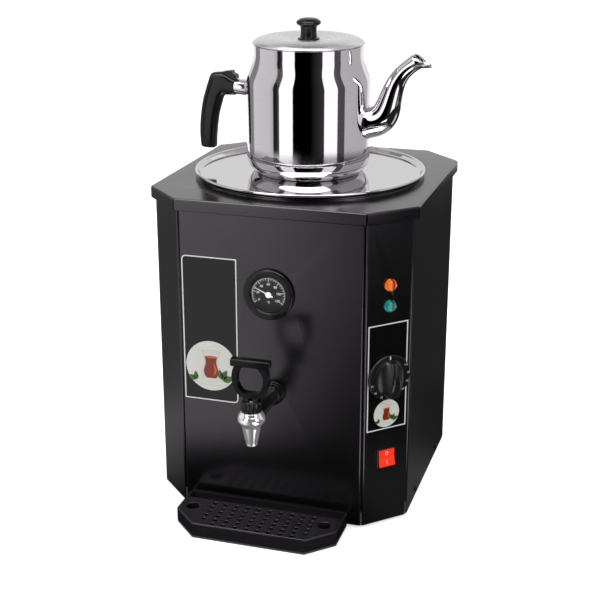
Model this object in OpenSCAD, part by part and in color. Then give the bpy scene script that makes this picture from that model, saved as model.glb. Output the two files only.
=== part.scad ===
// Countertop hot water urn with a teapot on its lid, in millimetres.
// The origin is at the centre of the footprint on the worktop. The front faces -Y, up is +Z.

/* [Casing] */
// Width across the side panels
body_w = 300; // [290:1:330]
// Depth from the front panel to the back panel
body_d = 306; // [296:1:330]
// Height of the top face of the cover above the worktop
body_h = 373; // [350:1:400]
// Leg of the 45 degree corner faces
corner = 43; // [42:1:50]
// Thickness of the casing sheet
sheet = 1.2; // [0.8:0.1:1.5]
// Width of the seam between two casing panels
seam = 0.5; // [0.3:0.1:1]
// Height of the rubber feet
foot_h = 3; // [2:0.5:8]
// Radius of a rubber foot
foot_r = 12; // [9:1:16]
// How far the cover stands out past the panels
cover_over = 5; // [3:0.5:8]
// Height of the cover's folded rim
cover_rim = 14; // [10:1:22]

/* [Tank] */
// Outer radius of the water tank
tank_r = 112; // [108:1:114]
// Wall of the water tank
tank_wall = 0.8; // [0.6:0.1:1.2]
// Height of the underside of the tank above the worktop
tank_floor = 128; // [122:1:132]
// Width of the tank's top flange
flange_w = 15; // [10:1:17]
// Thickness of the flange gasket
gasket_t = 0.6; // [0.4:0.1:1]
// Thickness of the insulation jacket
jacket_t = 14; // [8:1:16]
// Radius of the heating element's ring
element_ring = 70; // [55:1:80]
// Radius of the heating element's tube
element_r = 4.2; // [3:0.1:5]

/* [Tank lid] */
// Radius of the lid's rim
lid_r = 134; // [130:1:142]
// Radius of the lid's flat face
lid_flat_r = 131; // [128:0.5:133]
// Height of the lid's rim above its flat face
lid_rise = 5.4; // [5:0.1:9]
// Thickness of the lid sheet
lid_t = 0.8; // [0.6:0.1:1.2]
// Depth of the locating ring under the lid
lid_ring = 10; // [5:1:16]

/* [Front] */
// Distance of the front decal from the panel's left edge
decal_edge = 3; // [1:0.5:12]
// Lower edge of the front decal
decal_z = 136; // [120:1:150]
// Width of the front decal
decal_w = 66; // [50:1:66]
// Height of the front decal
decal_h = 173; // [140:1:190]
// Thickness of a decal
decal_t = 0.3; // [0.2:0.1:0.5]
// Height of the thermometer's centre
therm_z = 272; // [255:1:290]
// Radius of the thermometer's bezel
therm_r = 29; // [27:0.5:36]
// Radius of the thermometer's dial
dial_r = 20.5; // [18:0.5:22]
// How far the bezel stands out
therm_out = 5; // [4.5:0.5:8]
// Reach of the thermometer's probe into the tank
probe_in = 34; // [15:1:60]

/* [Controls] */
// Offset of the controls from the middle of the corner face
control_u = 1; // [-1:0.5:2]
// Height of the orange lamp
lamp_hi_z = 288.5; // [280:0.5:300]
// Height of the green lamp
lamp_lo_z = 264.5; // [256:0.5:270]
// Radius of a lamp lens
lamp_r = 7; // [6:0.5:8]
// Width of the control decal
cdecal_w = 52; // [46:1:54]
// Lower edge of the control decal
cdecal_z = 118; // [110:1:125]
// Height of the control decal
cdecal_h = 127; // [110:1:130]
// Height of the thermostat knob's centre
knob_z = 181.5; // [170:0.5:195]
// Radius of the knob's skirt
knob_r = 26.5; // [20:0.5:28]
// How far the knob stands out
knob_out = 21; // [16:1:28]
// Height of the switch's centre
switch_z = 82.5; // [60:0.5:95]
// Width of the switch's frame
switch_w = 27; // [25:0.5:34]
// Height of the switch's frame
switch_h = 26; // [25:0.5:34]
// Angle between the two faces of the rocker
rocker_tilt = 16; // [10:1:20]

/* [Tap] */
// Distance of the tap's spout from the panel
tap_reach = 75; // [62:1:90]
// Sideways place of the tap
tap_x = 3; // [-10:1:10]
// Height of the tap's barrel
tap_z = 156; // [150:1:165]
// Radius of the barrel
barrel_r = 9; // [8.5:0.5:10]
// Radius of the spout body at its bulge
bulge_r = 15; // [13.5:0.5:17]
// Radius of the bonnet collar
collar_r = 11.2; // [10.6:0.1:13]
// Height of the bonnet collar
collar_h = 13; // [12:0.5:16]
// Length of the outlet below the barrel's centre
outlet_l = 31; // [24:1:40]
// Width of the lever's bar
bar_w = 43; // [36:1:50]
// Half width of the lever's loop
loop_a = 20.5; // [18:0.5:23]
// Height of the underside of the lever's bar above its pin
bar_rise = 41; // [38:1:50]
// Thickness of the lever's loop
loop_t = 9; // [8:0.5:9.5]
// Lift of the tap's stem
stem_lift = 1.2; // [0.6:0.1:1.5]

/* [Drip tray] */
// Width of the tray
tray_w = 190; // [150:1:200]
// Distance of the tray's front edge from the panel
tray_d = 76; // [60:1:100]
// Sideways place of the tray
tray_x = -4; // [-10:1:10]
// Height of the tray with its grid
tray_h = 19; // [17:0.5:30]
// Leg of the tray's front corner faces
tray_corner = 29; // [15:1:35]
// Wall of the tray
tray_wall = 2; // [1.5:0.1:3]
// Thickness of the grid plate
grid_t = 1.2; // [0.8:0.1:2]
// Distance of the grid's back edge from the panel
grid_back = 18; // [14:1:22]
// Radius of a drain hole
hole_r = 2.6; // [2:0.1:3]
// Distance between two drain holes across
hole_dx = 13.3; // [12:0.1:14]
// Distance between two rows of drain holes
hole_dy = 9.1; // [8:0.1:9.5]
// Radius of a finger hole
finger_r = 7.5; // [6:0.5:10]

/* [Teapot] */
// Sideways place of the teapot
pot_x = -3.5; // [-15:0.5:15]
// Front to back place of the teapot
pot_y = 4; // [-15:0.5:15]
// Radius of the teapot's body
pot_r = 72; // [68:0.5:76]
// Radius of the neck
neck_r = 62; // [58:0.5:64]
// Height of the rim above the lid's flat face
pot_h = 147.5; // [135:0.5:160]
// Height of the straight wall's upper end
shoulder_z = 102; // [85:1:106]
// Height of the neck's lower end
neck_z = 136; // [122:1:137]
// Wall of the teapot
pot_wall = 1; // [0.8:0.1:1.2]
// Thickness of the encapsulated base
base_t = 10.7; // [8:0.1:13]
// Radius of the base's flat underside
pot_base_r = 61; // [56:0.5:64]
// Radius of the teapot lid
pot_lid_r = 64.5; // [63:0.5:66]
// Height of the lid's dome above its rim
dome_h = 8.5; // [6:0.5:14]
// Thickness of the teapot handle
grip_t = 17; // [14:0.5:22]
// Radius of the lid knob's cap
cap_r = 14.3; // [12:0.1:18]
// Height of the lid knob
cap_h = 24; // [20:0.5:30]

/* [Hidden] */
$fn = 96;

eps = 0.01;             // overlap that makes a cut pass right through a face
slip = 0.05;            // radial clearance of a running fit
play = 0.3;             // clearance between pieces that move past each other
front_y = -body_d / 2;
back_y = body_d / 2;
face_w = body_w / 2 - corner;         // half width of the front panel
panel_top = body_h - sheet;           // underside of the cover plate
tank_in = tank_r - tank_wall;
mouth_r = tank_r + 0.5;               // hole in the cover that the tank hangs through
flange_t = 0.9;                       // sheet of the tank's flange
flange_top = body_h + gasket_t + flange_t;
pot_z0 = flange_top + lid_t;          // flat face of the tank lid, which the teapot stands on
jacket_in = tank_r + play;
jacket_out = jacket_in + jacket_t;
element_z = tank_floor + tank_wall + 16;
element_gap = 8;                      // half of the angle left open in the element's ring
therm_x = -1;
decal_x = decal_edge - face_w;         // left edge of the front decal

// A corner-cut rectangle, the plan of the casing, taken in by a distance
function octagon(w, d, c, inset = 0) = let (x = w / 2 - inset, y = d / 2 - inset,
        k = c - inset * (2 - sqrt(2)))
    [[-x, -y + k], [-x + k, -y], [x - k, -y], [x, -y + k], [x, y - k], [x - k, y], [-x + k, y],
     [-x, y - k]];

module plan(inset = 0) { polygon(octagon(body_w, body_d, corner, inset)); }

// Places its children on the front panel: x across, -Y out of the panel
module on_front(x, z) { translate([x, front_y, z]) children(); }

// Places its children on the right front corner face: x across, -Y out of the face
module on_corner(u, z) {
    translate([body_w / 2 - corner / 2, front_y + corner / 2, 0]) rotate([0, 0, 45])
        translate([u, 0, z]) children();
}

// A cylinder that points out of a panel, from depth a to depth b, where + is outwards
module peg(r, a, b, sides = 0) {
    translate([0, -a, 0]) rotate([90, 0, 0])
        cylinder(r = r, h = b - a, $fn = sides > 0 ? sides : $fn);
}

// ---- casing -------------------------------------------------------------------------------

// The wedge of plan that belongs to the faces between two corners of the front
module wedge(from, to) {
    pts = octagon(body_w, body_d, corner);
    out = octagon(body_w, body_d, corner, -12);
    in = octagon(body_w, body_d, corner, 12);
    polygon([out[from], out[to], in[to], in[from]]);
}

module shell_2d() {
    difference() {
        plan();
        plan(sheet);
    }
}

module panel_cutouts_front() {
    on_front(tap_x, tap_z) peg(barrel_r - 0.7, -5, 5);
    on_front(therm_x, therm_z) peg(therm_can_r + play, -5, 5);
}

module front_panel() color("#2c2b2e") difference() {
    translate([0, 0, foot_h]) linear_extrude(panel_top - foot_h) intersection() {
        shell_2d();
        wedge(1, 2);
    }
    panel_cutouts_front();
}

module control_panel() color("#1c1b1e") difference() {
    translate([0, 0, foot_h]) linear_extrude(panel_top - foot_h) difference() {
        intersection() {
            shell_2d();
            wedge(2, 3);
        }
        seams();
    }
    on_corner(control_u, knob_z) peg(shaft_r + 1, -5, 5);
    for (z = [lamp_hi_z, lamp_lo_z])
        on_corner(control_u, z) peg(lamp_stem_r, -5, 5);
    on_corner(control_u, switch_z)
        cube([switch_w - 3, 12, switch_h - 3], center = true);
}

// Narrow gaps where the casing's panels meet
module seams() {
    for (p = [[-face_w, front_y], [face_w, front_y], [body_w / 2, front_y + corner]])
        translate(p) circle(r = seam, $fn = 24);
}

module casing_wrap() color("#242326") difference() {
    translate([0, 0, foot_h]) linear_extrude(panel_top - foot_h) difference() {
        shell_2d();
        wedge(1, 2);
        wedge(2, 3);
        seams();
    }
    translate([gland_x, back_y, gland_z]) peg(gland_r, -5, 5);
    for (i = [0 : vent_n - 1])
        translate([0, back_y, vent_z + i * vent_pitch]) cube([vent_w, 6, vent_t], center = true);
}

vent_n = 6;
vent_z = 52;
vent_pitch = 11;
vent_w = 90;
vent_t = 3.5;

module top_cover() color("#6d6b6f") difference() {
    translate([0, 0, body_h - cover_rim]) linear_extrude(cover_rim) plan(-cover_over);
    translate([0, 0, body_h - cover_rim - eps]) linear_extrude(cover_rim - sheet + eps)
        plan(sheet - cover_over);
    translate([0, 0, body_h - 5]) cylinder(r = mouth_r, h = 10);
    for (p = octagon(body_w, body_d, corner, -cover_over))
        translate([p[0], p[1], body_h - cover_rim - eps])
            cylinder(r = seam, h = cover_rim - 1.5 * sheet, $fn = 24);
}

flange_h = 16;           // upturned edge of the base plate
foot_x = body_w / 2 - 46; // the feet stand this far from the middle
foot_y = body_d / 2 - 49;
foot_screw_r = 2;
slot_pitch = 16;         // air slots in the base plate
slot_l = 70;

module base_plate() color("#3a393c") difference() {
    translate([0, 0, foot_h]) linear_extrude(flange_h) plan(sheet);
    translate([0, 0, foot_h + sheet]) linear_extrude(flange_h) plan(2 * sheet);
    for (x = [-1, 1], y = [-1, 1])
        translate([x * foot_x, y * foot_y, 0]) cylinder(r = foot_screw_r, h = 20);
    for (i = [-4 : 4])
        translate([i * slot_pitch, 0, foot_h]) cube([vent_t, slot_l, 4 * sheet], center = true);
}

module rubber_feet() color("#151515")
    for (x = [-1, 1], y = [-1, 1]) translate([x * foot_x, y * foot_y, 0]) difference() {
        cylinder(r1 = foot_r - 1, r2 = foot_r, h = foot_h);
        cylinder(r = foot_screw_r, h = 3 * foot_h, center = true);
        translate([0, 0, -eps]) cylinder(r = 2.2 * foot_screw_r, h = foot_h / 2 + eps);
    }

module foot_screws() color("#b9babd")
    for (x = [-1, 1], y = [-1, 1]) translate([x * foot_x, y * foot_y, 0]) {
        translate([0, 0, foot_h * 0.2]) cylinder(r = 1.9 * foot_screw_r, h = foot_h * 0.3);
        translate([0, 0, foot_h * 0.4]) cylinder(r = foot_screw_r, h = foot_h + 5);
    }

// Pan-head screws through the wrap and the base plate's edge, at the back and both sides
screw_z = foot_h + flange_h / 2;
screw_spots = [[0, 90], [0, -90], [90, 60], [90, -60], [-90, 60], [-90, -60]];

module screw_place(spot) {
    half = spot[0] == 0 ? back_y : body_w / 2;
    turn = spot[0] == 0 ? 180 : spot[0];
    rotate([0, 0, turn]) translate([spot[1], -half, screw_z]) children();
}

module casing_screws() color("#232325") for (s = screw_spots) screw_place(s) {
    difference() {
        peg(3.4, 0, 1.6);
        rotate([90, 0, 0]) translate([0, 0, 1]) {
            cube([4, 0.9, 3], center = true);
            cube([0.9, 4, 3], center = true);
        }
    }
}

// ---- tank ---------------------------------------------------------------------------------

boss_r = barrel_r + 3.5;     // socket on the tank that the tap's shank passes through
boss_y = -tank_r - 9;
well_r = 7;                  // boss of the thermometer's probe

module tank_holes() {
    translate([tap_x, 0, tap_z]) rotate([90, 0, 0]) cylinder(r = shank_r, h = body_d);
    translate([therm_x, 0, therm_z]) rotate([90, 0, 0]) cylinder(r = probe_r, h = body_d);
    for (s = [-1, 1]) rotate([0, 0, s * element_gap])
        translate([element_ring, 0, tank_floor - eps]) cylinder(r = leg_r, h = 3 * tank_wall);
}

module tank() color("#b4b5b8") difference() {
    union() {
        difference() {
            union() {
                translate([0, 0, tank_floor]) cylinder(r = tank_r, h = flange_top - tank_floor);
                translate([tap_x, 0, tap_z]) rotate([90, 0, 0]) cylinder(r = boss_r, h = -boss_y);
                translate([therm_x, 0, therm_z]) rotate([90, 0, 0])
                    cylinder(r = well_r, h = -boss_y);
            }
            translate([0, 0, tank_floor + tank_wall]) cylinder(r = tank_in, h = body_h);
        }
        translate([0, 0, flange_top - flange_t]) difference() {
            cylinder(r = tank_r + flange_w, h = flange_t);
            translate([0, 0, -1]) cylinder(r = tank_in, h = 5);
        }
    }
    tank_holes();
}

module tank_gasket() color("#8d2a22") translate([0, 0, body_h]) difference() {
    cylinder(r = tank_r + flange_w - 1, h = gasket_t);
    translate([0, 0, -1]) cylinder(r = tank_r, h = 5);
}

jacket_low = tank_floor + 2;
jacket_top = body_h - 28;    // clear of the tank's flange and of the cover's rim

module insulation_jacket() color("#c9c4b4") difference() {
    translate([0, 0, jacket_low]) cylinder(r = jacket_out, h = jacket_top - jacket_low);
    translate([0, 0, tank_floor]) cylinder(r = jacket_in, h = body_h);
    translate([tap_x, 0, tap_z]) rotate([90, 0, 0]) cylinder(r = boss_r + play, h = body_d);
    translate([therm_x, 0, therm_z]) rotate([90, 0, 0]) cylinder(r = well_r + play, h = body_d);
    rotate([0, 0, -45]) translate([bulb_at, 0, tank_floor]) cylinder(r = bulb_r + play, h = body_h);
    rotate([0, 0, -45]) translate([bulb_at, 0, bulb_top + 10]) rotate([0, 90, 0])
        cylinder(r = capillary_r + play, h = 60);
}

leg_l = 22;                  // reach of the element's legs below the tank
leg_r = element_r - 0.4;
ring_end = 4;                // angle by which the ring runs on past each leg

// A ring lying above the tank's floor, on two legs that pass through the floor
module heating_element() color("#8f8f93") {
    translate([0, 0, element_z])
        rotate_extrude(angle = 360 - 2 * (element_gap - ring_end), start = element_gap - ring_end)
            translate([element_ring, 0]) circle(r = element_r);
    for (s = [-1, 1]) rotate([0, 0, s * element_gap])
        translate([element_ring, 0, tank_floor - leg_l]) {
            cylinder(r = leg_r, h = element_z - tank_floor + leg_l);
            translate([0, 0, -8]) cylinder(r = 1.6, h = 10);
        }
}

module element_gaskets() color("#8d2a22")
    for (s = [-1, 1]) rotate([0, 0, s * element_gap])
        translate([element_ring, 0, tank_floor - 1.2]) difference() {
            cylinder(r = 2 * leg_r, h = 1.2);
            translate([0, 0, -1]) cylinder(r = leg_r, h = 5);
        }

module element_nuts() color("#b79a5a")
    for (s = [-1, 1]) rotate([0, 0, s * element_gap])
        translate([element_ring, 0, tank_floor - 8.2]) difference() {
            cylinder(r = 2.2 * leg_r, h = 7, $fn = 6);
            translate([0, 0, -1]) cylinder(r = leg_r, h = 15);
        }

// A clip-on thermal cutout under the middle of the tank
module safety_cutout() color("#d9d6cc") {
    translate([0, 0, tank_floor - 2]) cylinder(r = 12, h = 2);
    translate([0, 0, tank_floor - 11]) cylinder(r = 8.5, h = 9);
    for (s = [-1, 1]) translate([s * 4.5, 0, tank_floor - 14]) cube([0.8, 6, 8], center = true);
}

// ---- controls on the corner face ----------------------------------------------------------

shaft_r = 3;
shaft_out = 14;
shaft_in = 15;
skirt_t = 3;
skirt_off = 1;            // gap behind the knob's skirt
bulb_r = 3;
bulb_at = tank_r + bulb_r + 0.1;
bulb_top = 240;
bulb_l = 90;
capillary_r = 0.9;
thermo_deep = 30;         // depth of the thermostat's case behind the panel
thermo_w = 36;
thermo_h = 32;
ear_w = 44;               // the case's mounting ears
ear_h = 20;
capillary_in = 4;         // reach of the capillary out of the back of that case

module thermostat_body() color("#cfcabb") on_corner(control_u, knob_z) difference() {
    union() {
        translate([0, sheet + thermo_deep / 2, 0])
            cube([thermo_w, thermo_deep, thermo_h], center = true);
        translate([0, sheet + 0.6, 0]) cube([ear_w, 1.2, ear_h], center = true);
    }
    peg(shaft_r + slip, -shaft_in - 1, 5);
}

module thermostat_shaft() color("#c9c9cc") on_corner(control_u, knob_z)
    peg(shaft_r, -shaft_in, shaft_out);

module thermostat_bulb() color("#c48a5a") {
    out = body_w / 2 - corner / 2;
    start = norm([out, front_y + corner / 2]) - sheet - thermo_deep - capillary_in;
    // capillary: out of the case, up, in over the jacket's slot and down to the bulb
    rotate([0, 0, -45]) {
        translate([bulb_at, 0, bulb_top - bulb_l]) cylinder(r = bulb_r, h = bulb_l);
        translate([bulb_at, 0, bulb_top]) cylinder(r = capillary_r, h = 10, $fn = 24);
        translate([bulb_at, 0, bulb_top + 10]) sphere(r = capillary_r, $fn = 24);
        translate([bulb_at, 0, bulb_top + 10]) rotate([0, 90, 0])
            cylinder(r = capillary_r, h = start - bulb_at, $fn = 24);
        translate([start, 0, bulb_top + 10]) sphere(r = capillary_r, $fn = 24);
        translate([start, 0, knob_z]) cylinder(r = capillary_r, h = bulb_top + 10 - knob_z,
            $fn = 24);
        translate([start, 0, knob_z]) sphere(r = capillary_r, $fn = 24);
        translate([start, 0, knob_z]) rotate([0, 90, 0])
            cylinder(r = capillary_r, h = capillary_in, $fn = 24);
    }
}

drum_r = 21;              // radius of the knob's middle part at its skirt
drum_h = 7;
grip_top = 2.6;           // half width of the grip at its pointing end
grip_low = 7;             // half width of the grip at its other end

// A skirt, a low cone and a grip that narrows towards the index line
module thermostat_knob() color("#19191b") on_corner(control_u, knob_z) difference() {
    translate([0, -decal_t - skirt_off, 0]) rotate([90, 0, 0]) {
        cylinder(r1 = knob_r, r2 = knob_r - 0.8, h = skirt_t);
        translate([0, 0, skirt_t]) cylinder(r1 = drum_r, r2 = drum_r - 7, h = drum_h);
        intersection() {
            cylinder(r = drum_r + 0.5, h = knob_out - skirt_off);
            linear_extrude(knob_out - skirt_off) polygon([[-grip_low, -knob_r],
                [grip_low, -knob_r], [grip_top, knob_r], [-grip_top, knob_r]]);
        }
    }
    peg(shaft_r, 0, shaft_out);
}

lamp_stem_r = 5.5;
module lamp_lens() {
    difference() {
        union() {
            peg(lamp_r, 0, 3);
            translate([0, -3, 0]) rotate([90, 0, 0]) cylinder(r1 = lamp_r, r2 = lamp_r - 2, h = 2);
            peg(lamp_r - 2, 3, 5.6);
        }
        peg(lamp_r - 3.5, -1, 4);
    }
}
module lamp_lens_orange() color("#f07818") on_corner(control_u, lamp_hi_z) lamp_lens();
module lamp_lens_green() color("#14a08c") on_corner(control_u, lamp_lo_z) lamp_lens();

module lamp_holders() color("#1d1d1f")
    for (z = [lamp_hi_z, lamp_lo_z]) on_corner(control_u, z) {
        peg(lamp_stem_r, -24, 0);
        peg(lamp_r + 2.5, -4 - sheet, -sheet, 6);
        for (s = [-1, 1]) translate([s * 2.5, 27, 0]) cube([0.8, 8, 4.8], center = true);
    }

rocker_w = 20.5;
rocker_h = 21.5;
frame_out = 2.6;
pivot_in = 1.5;          // depth of the rocker's pivot behind the panel's face
trunnion_r = 1.5;

module switch_frame() color("#18181a") on_corner(control_u, switch_z) difference() {
    union() {
        translate([0, -frame_out / 2, 0]) cube([switch_w, frame_out, switch_h], center = true);
        translate([0, 12, 0]) cube([switch_w - 3, 24, switch_h - 3], center = true);
        for (s = [-1, 0, 1]) translate([0, 28, s * 7]) cube([6, 9, 0.8], center = true);
    }
    translate([0, 2, 0]) cube([rocker_w + 2 * play, 20, rocker_h + 2 * play], center = true);
    translate([0, pivot_in, 0]) rotate([0, 90, 0])
        cylinder(r = trunnion_r + slip, h = rocker_w + 4, center = true);
}

// Upper half pressed in: two flat faces, with the lower one standing out
module switch_rocker() color("#e0301a") on_corner(control_u, switch_z)
    translate([0, pivot_in, 0]) rotate([-rocker_tilt / 2, 0, 0]) {
        rise = tan(rocker_tilt / 2) * rocker_h / 2;
        face = frame_out + pivot_in - 1.2;
        rotate([0, -90, 0]) linear_extrude(rocker_w, center = true)
            polygon([[-rocker_h / 2 + 0.6, -face - rise], [0, -face],
                [rocker_h / 2 - 0.6, -face - rise], [rocker_h / 2 - 0.8, 2],
                [-rocker_h / 2 + 0.8, 2]]);
        rotate([0, 90, 0]) cylinder(r = trunnion_r, h = rocker_w + 3, center = true);
    }

pan_side = face_w - 47;   // the terminals sit this far to each side, on the base plate
pan_back = back_y - 58;
pole_n = 5;
pole_pitch = 13;
block_d = 18;
block_h = 16;

module terminal_block() color("#e4dfcf") translate([pan_side, pan_back, foot_h + sheet])
    difference() {
        translate([-(pole_n + 0.4) * pole_pitch / 2, -block_d / 2, 0])
            cube([(pole_n + 0.4) * pole_pitch, block_d, block_h]);
        for (i = [0 : pole_n - 1])
            translate([(i - (pole_n - 1) / 2) * pole_pitch, 0, block_h / 3])
                cylinder(r = block_d / 6, h = block_h);
    }

module earth_stud() color("#c4a668") translate([-pan_side, pan_back, foot_h + sheet]) {
    cylinder(r = 2, h = 14);
    cylinder(r = 3.6, h = 3, $fn = 6);
    translate([0, 0, 5]) cylinder(r = 4.5, h = 0.8);
    translate([0, 0, 5.8]) cylinder(r = 3.6, h = 3, $fn = 6);
}

gland_x = face_w - 12;    // clear of the casing's corner fold and of the gland's nut
gland_z = 32;
gland_r = 8;
module cable_gland() color("#1b1b1d") translate([gland_x, back_y, gland_z]) rotate([0, 0, 180])
    difference() {
        union() {
            peg(gland_r, -12, 4);
            peg(gland_r + 4, 0, 4, 6);
            peg(gland_r + 2.5, 4, 14);
            translate([0, -14, 0]) rotate([90, 0, 0]) cylinder(r1 = gland_r + 2.5,
                r2 = gland_r - 1, h = 5);
        }
        peg(4, -20, 30);
    }
module gland_nut() color("#1b1b1d") translate([gland_x, back_y, gland_z]) rotate([0, 0, 180])
    difference() {
        peg(gland_r + 4, -sheet - 5, -sheet, 6);
        peg(gland_r, -20, 20);
    }

// ---- thermometer --------------------------------------------------------------------------

therm_can_r = 23;
probe_r = 4;
dial_out = therm_out - 2.4;        // height of the dial's face over the panel
needle_r = 0.8;

module thermometer_case() color("#141416") on_front(therm_x, therm_z) rotate([90, 0, 0])
    difference() {
        union() {
            rotate_extrude() polygon([[0, 0], [therm_r, 0], [therm_r, therm_out - 1.6],
                [therm_r - 0.5, therm_out - 0.6], [therm_r - 1.8, therm_out],
                [dial_r + 2.2, therm_out], [dial_r, therm_out - 0.8], [0, therm_out - 0.8]]);
            translate([0, 0, -10]) cylinder(r = therm_can_r, h = 10 + eps);
        }
        translate([0, 0, dial_out - 0.5]) cylinder(r = dial_r, h = 10);
        translate([0, 0, -8]) cylinder(r = 3, h = 30);
    }

module thermometer_dial() color("#3a393c") on_front(therm_x, therm_z) difference() {
    peg(dial_r, dial_out - 0.5, dial_out);
    peg(needle_r + slip, -5, 20);
}

module thermometer_glass() color("#d8e4e6") on_front(therm_x, therm_z)
    peg(dial_r, therm_out - 1, therm_out - 0.4);

needle_hub = 3.8;
needle_l = dial_r - 2.5;
needle_turn = 65;        // angle between the needle and upright, at room temperature
module thermometer_needle() color("#f6f6f4") on_front(therm_x, therm_z) {
    peg(needle_hub, dial_out + 0.15, dial_out + 0.9);
    peg(needle_r, -4, dial_out + 0.5);
    translate([0, -dial_out - 0.2, 0]) rotate([90, -needle_turn, 0]) linear_extrude(0.4)
        polygon([[-0.8, 0], [0.8, 0], [0.6, needle_l], [-0.6, needle_l]]);
}

module thermometer_probe() color("#b9a06a") on_front(therm_x, therm_z)
    peg(probe_r, body_d / -2 + tank_in - probe_in, -10);

module thermometer_clamp() color("#9a9a9d") on_front(therm_x, therm_z) difference() {
    peg(therm_can_r + 6, -sheet - 2, -sheet);
    peg(therm_can_r, -20, 20);
}

// ---- decals -------------------------------------------------------------------------------

decal_round = 6;

// A rectangle with two opposite corners rounded: [left, bottom], width, height
module leaf_rect(w, h, r) {
    difference() {
        square([w, h]);
        translate([-1, h - r]) square([r + 1, r + 1]);
        translate([w - r, -1]) square([r + 1, r + 1]);
    }
    translate([r, h - r]) circle(r = r);
    translate([w - r, r]) circle(r = r);
}

module front_decal() color("#0b0b0c") translate([decal_x, front_y, decal_z]) rotate([90, 0, 0])
    linear_extrude(decal_t) leaf_rect(decal_w, decal_h, decal_round);

module control_decal() color("#060607") on_corner(control_u, cdecal_z) difference() {
    rotate([90, 0, 0]) translate([-cdecal_w / 2, 0, 0]) linear_extrude(decal_t)
        square([cdecal_w, cdecal_h]);
    translate([0, 0, knob_z - cdecal_z]) peg(shaft_r + 1, -5, 5);
}

// ---- tap ----------------------------------------------------------------------------------

shank_r = barrel_r - 1;
bore_r = 4.5;
chamber_r = 7.5;
axis_y = front_y - tap_reach;
seat_z = tap_z - barrel_r - 0.6;    // seat that the seal closes on
body_top = tap_z + barrel_r + 0.5;  // top of the chrome body
collar_top = body_top + collar_h;
pin_z = collar_top - 3;
pin_r = 2;
hub_r = 6;
cheek_w = 8;                        // half width of the lever's foot
link_w = 2.6;                       // half width of the gap between the foot's cheeks
stem_r = 2;
seal_h = 5;
spigot_l = 5;                       // length of the collar's spigot inside the body

module at_tap() { translate([tap_x, axis_y, 0]) children(); }

module tap_barrel() color("#151517") difference() {
    on_front(tap_x, tap_z) {
        peg(barrel_r, 0.8, tap_reach - chamber_r + 1);
        peg(barrel_r + 5, 0.8, 3.2);
        peg(barrel_r + 4, 4.2, 7.6);
        peg(barrel_r + 3, 8.6, 12);
        peg(barrel_r + 2, 2, 13.2);
        peg(shank_r, tank_in - body_d / 2 - 4, 1);
    }
    on_front(tap_x, tap_z) peg(bore_r, -80, tap_reach + 5);
    at_tap() translate([0, 0, seat_z]) cylinder(r = chamber_r, h = 40);
}

module tap_gasket() color("#2a2a2c") on_front(tap_x, tap_z) difference() {
    peg(barrel_r + 4, 0, 0.8);
    peg(shank_r, -5, 5);
}

module tap_locknut() color("#c4a668") on_front(tap_x, tap_z) difference() {
    peg(shank_r + 7, -sheet - 6, -sheet, 6);
    peg(shank_r, -30, 5);
}

waist_r = 11.2;                     // radius of the chrome body above and below its bulge
bulge_rise = 6;                     // half height of the bulge

// Chrome body: dome, bulge and a tapered outlet
module tap_spout() color("#d5d6d8") difference() {
    at_tap() rotate_extrude() polygon(concat(
        [[0, tap_z - outlet_l], [5.6, tap_z - outlet_l], [6.4, tap_z - outlet_l + 1.5],
         [waist_r - 0.6, tap_z - 8.5], [waist_r, tap_z - 6.5]],
        [for (a = [-60 : 15 : 60]) [waist_r + (bulge_r - waist_r) * cos(a),
            tap_z + 1 + bulge_rise * sin(a)]],
        [[waist_r + 0.3, body_top], [0, body_top]]));
    at_tap() {
        translate([0, 0, seat_z]) cylinder(r = chamber_r, h = 40);
        translate([0, 0, 0]) cylinder(r = bore_r, h = 400);
    }
    on_front(tap_x, tap_z) peg(barrel_r, 0, tap_reach);
}

module tap_collar() color("#151517") at_tap() difference() {
    union() {
        translate([0, 0, body_top]) cylinder(r = collar_r, h = collar_h);
        translate([0, 0, body_top - spigot_l]) cylinder(r = chamber_r, h = spigot_l + 1);
    }
    for (a = [0 : 15 : 345]) rotate([0, 0, a + 7.5]) translate([collar_r + 0.1, 0, body_top + 2])
        cylinder(r = 0.6, h = collar_h - 5, $fn = 16);
    translate([0, 0, body_top - 20]) cylinder(r = stem_r + slip, h = 60);
    translate([0, 0, pin_z]) rotate([0, 90, 0])
        cylinder(r = hub_r + play, h = 2 * (cheek_w + play), center = true);
    translate([-cheek_w - play, -30, pin_z - 1]) cube([2 * (cheek_w + play), 60, 30]);
    translate([0, 0, pin_z]) rotate([0, 90, 0]) cylinder(r = pin_r, h = 60, center = true);
}

module tap_stem() color("#c9cacc") at_tap()
    translate([0, 0, seat_z + 1]) cylinder(r = stem_r, h = pin_z - pin_r - 2 * play - stem_lift
        - seat_z - 1);

module tap_seal() color("#b9392b") at_tap() difference() {
    translate([0, 0, seat_z]) cylinder(r1 = bore_r + 1, r2 = chamber_r - 1, h = seal_h);
    translate([0, 0, seat_z + 1]) cylinder(r = stem_r, h = 10);
}

// A wire helix that presses the seal down from under the collar's spigot
spring_turns = 4;
spring_r = 4.4;
wire_r = 0.45;
module tap_spring() color("#b8b9bc") at_tap() {
    z0 = seat_z + seal_h + wire_r + 0.05;
    rise = body_top - spigot_l - wire_r - z0 - 0.05;
    n = spring_turns * 24;
    sides = 8;
    pts = [for (i = [0 : n]) let (a = 360 * spring_turns * i / n, z = z0 + rise * i / n)
        for (k = [0 : sides - 1]) let (b = 360 * k / sides, r = spring_r + wire_r * cos(b))
            [r * cos(a), r * sin(a), z + wire_r * sin(b)]];
    quads = [for (i = [0 : n - 1], k = [0 : sides - 1]) let (k2 = (k + 1) % sides)
        [i * sides + k, (i + 1) * sides + k, (i + 1) * sides + k2, i * sides + k2]];
    polyhedron(pts, concat(quads, [[for (k = [0 : sides - 1]) k]],
        [[for (k = [sides - 1 : -1 : 0]) n * sides + k]]), 10);
}

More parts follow.
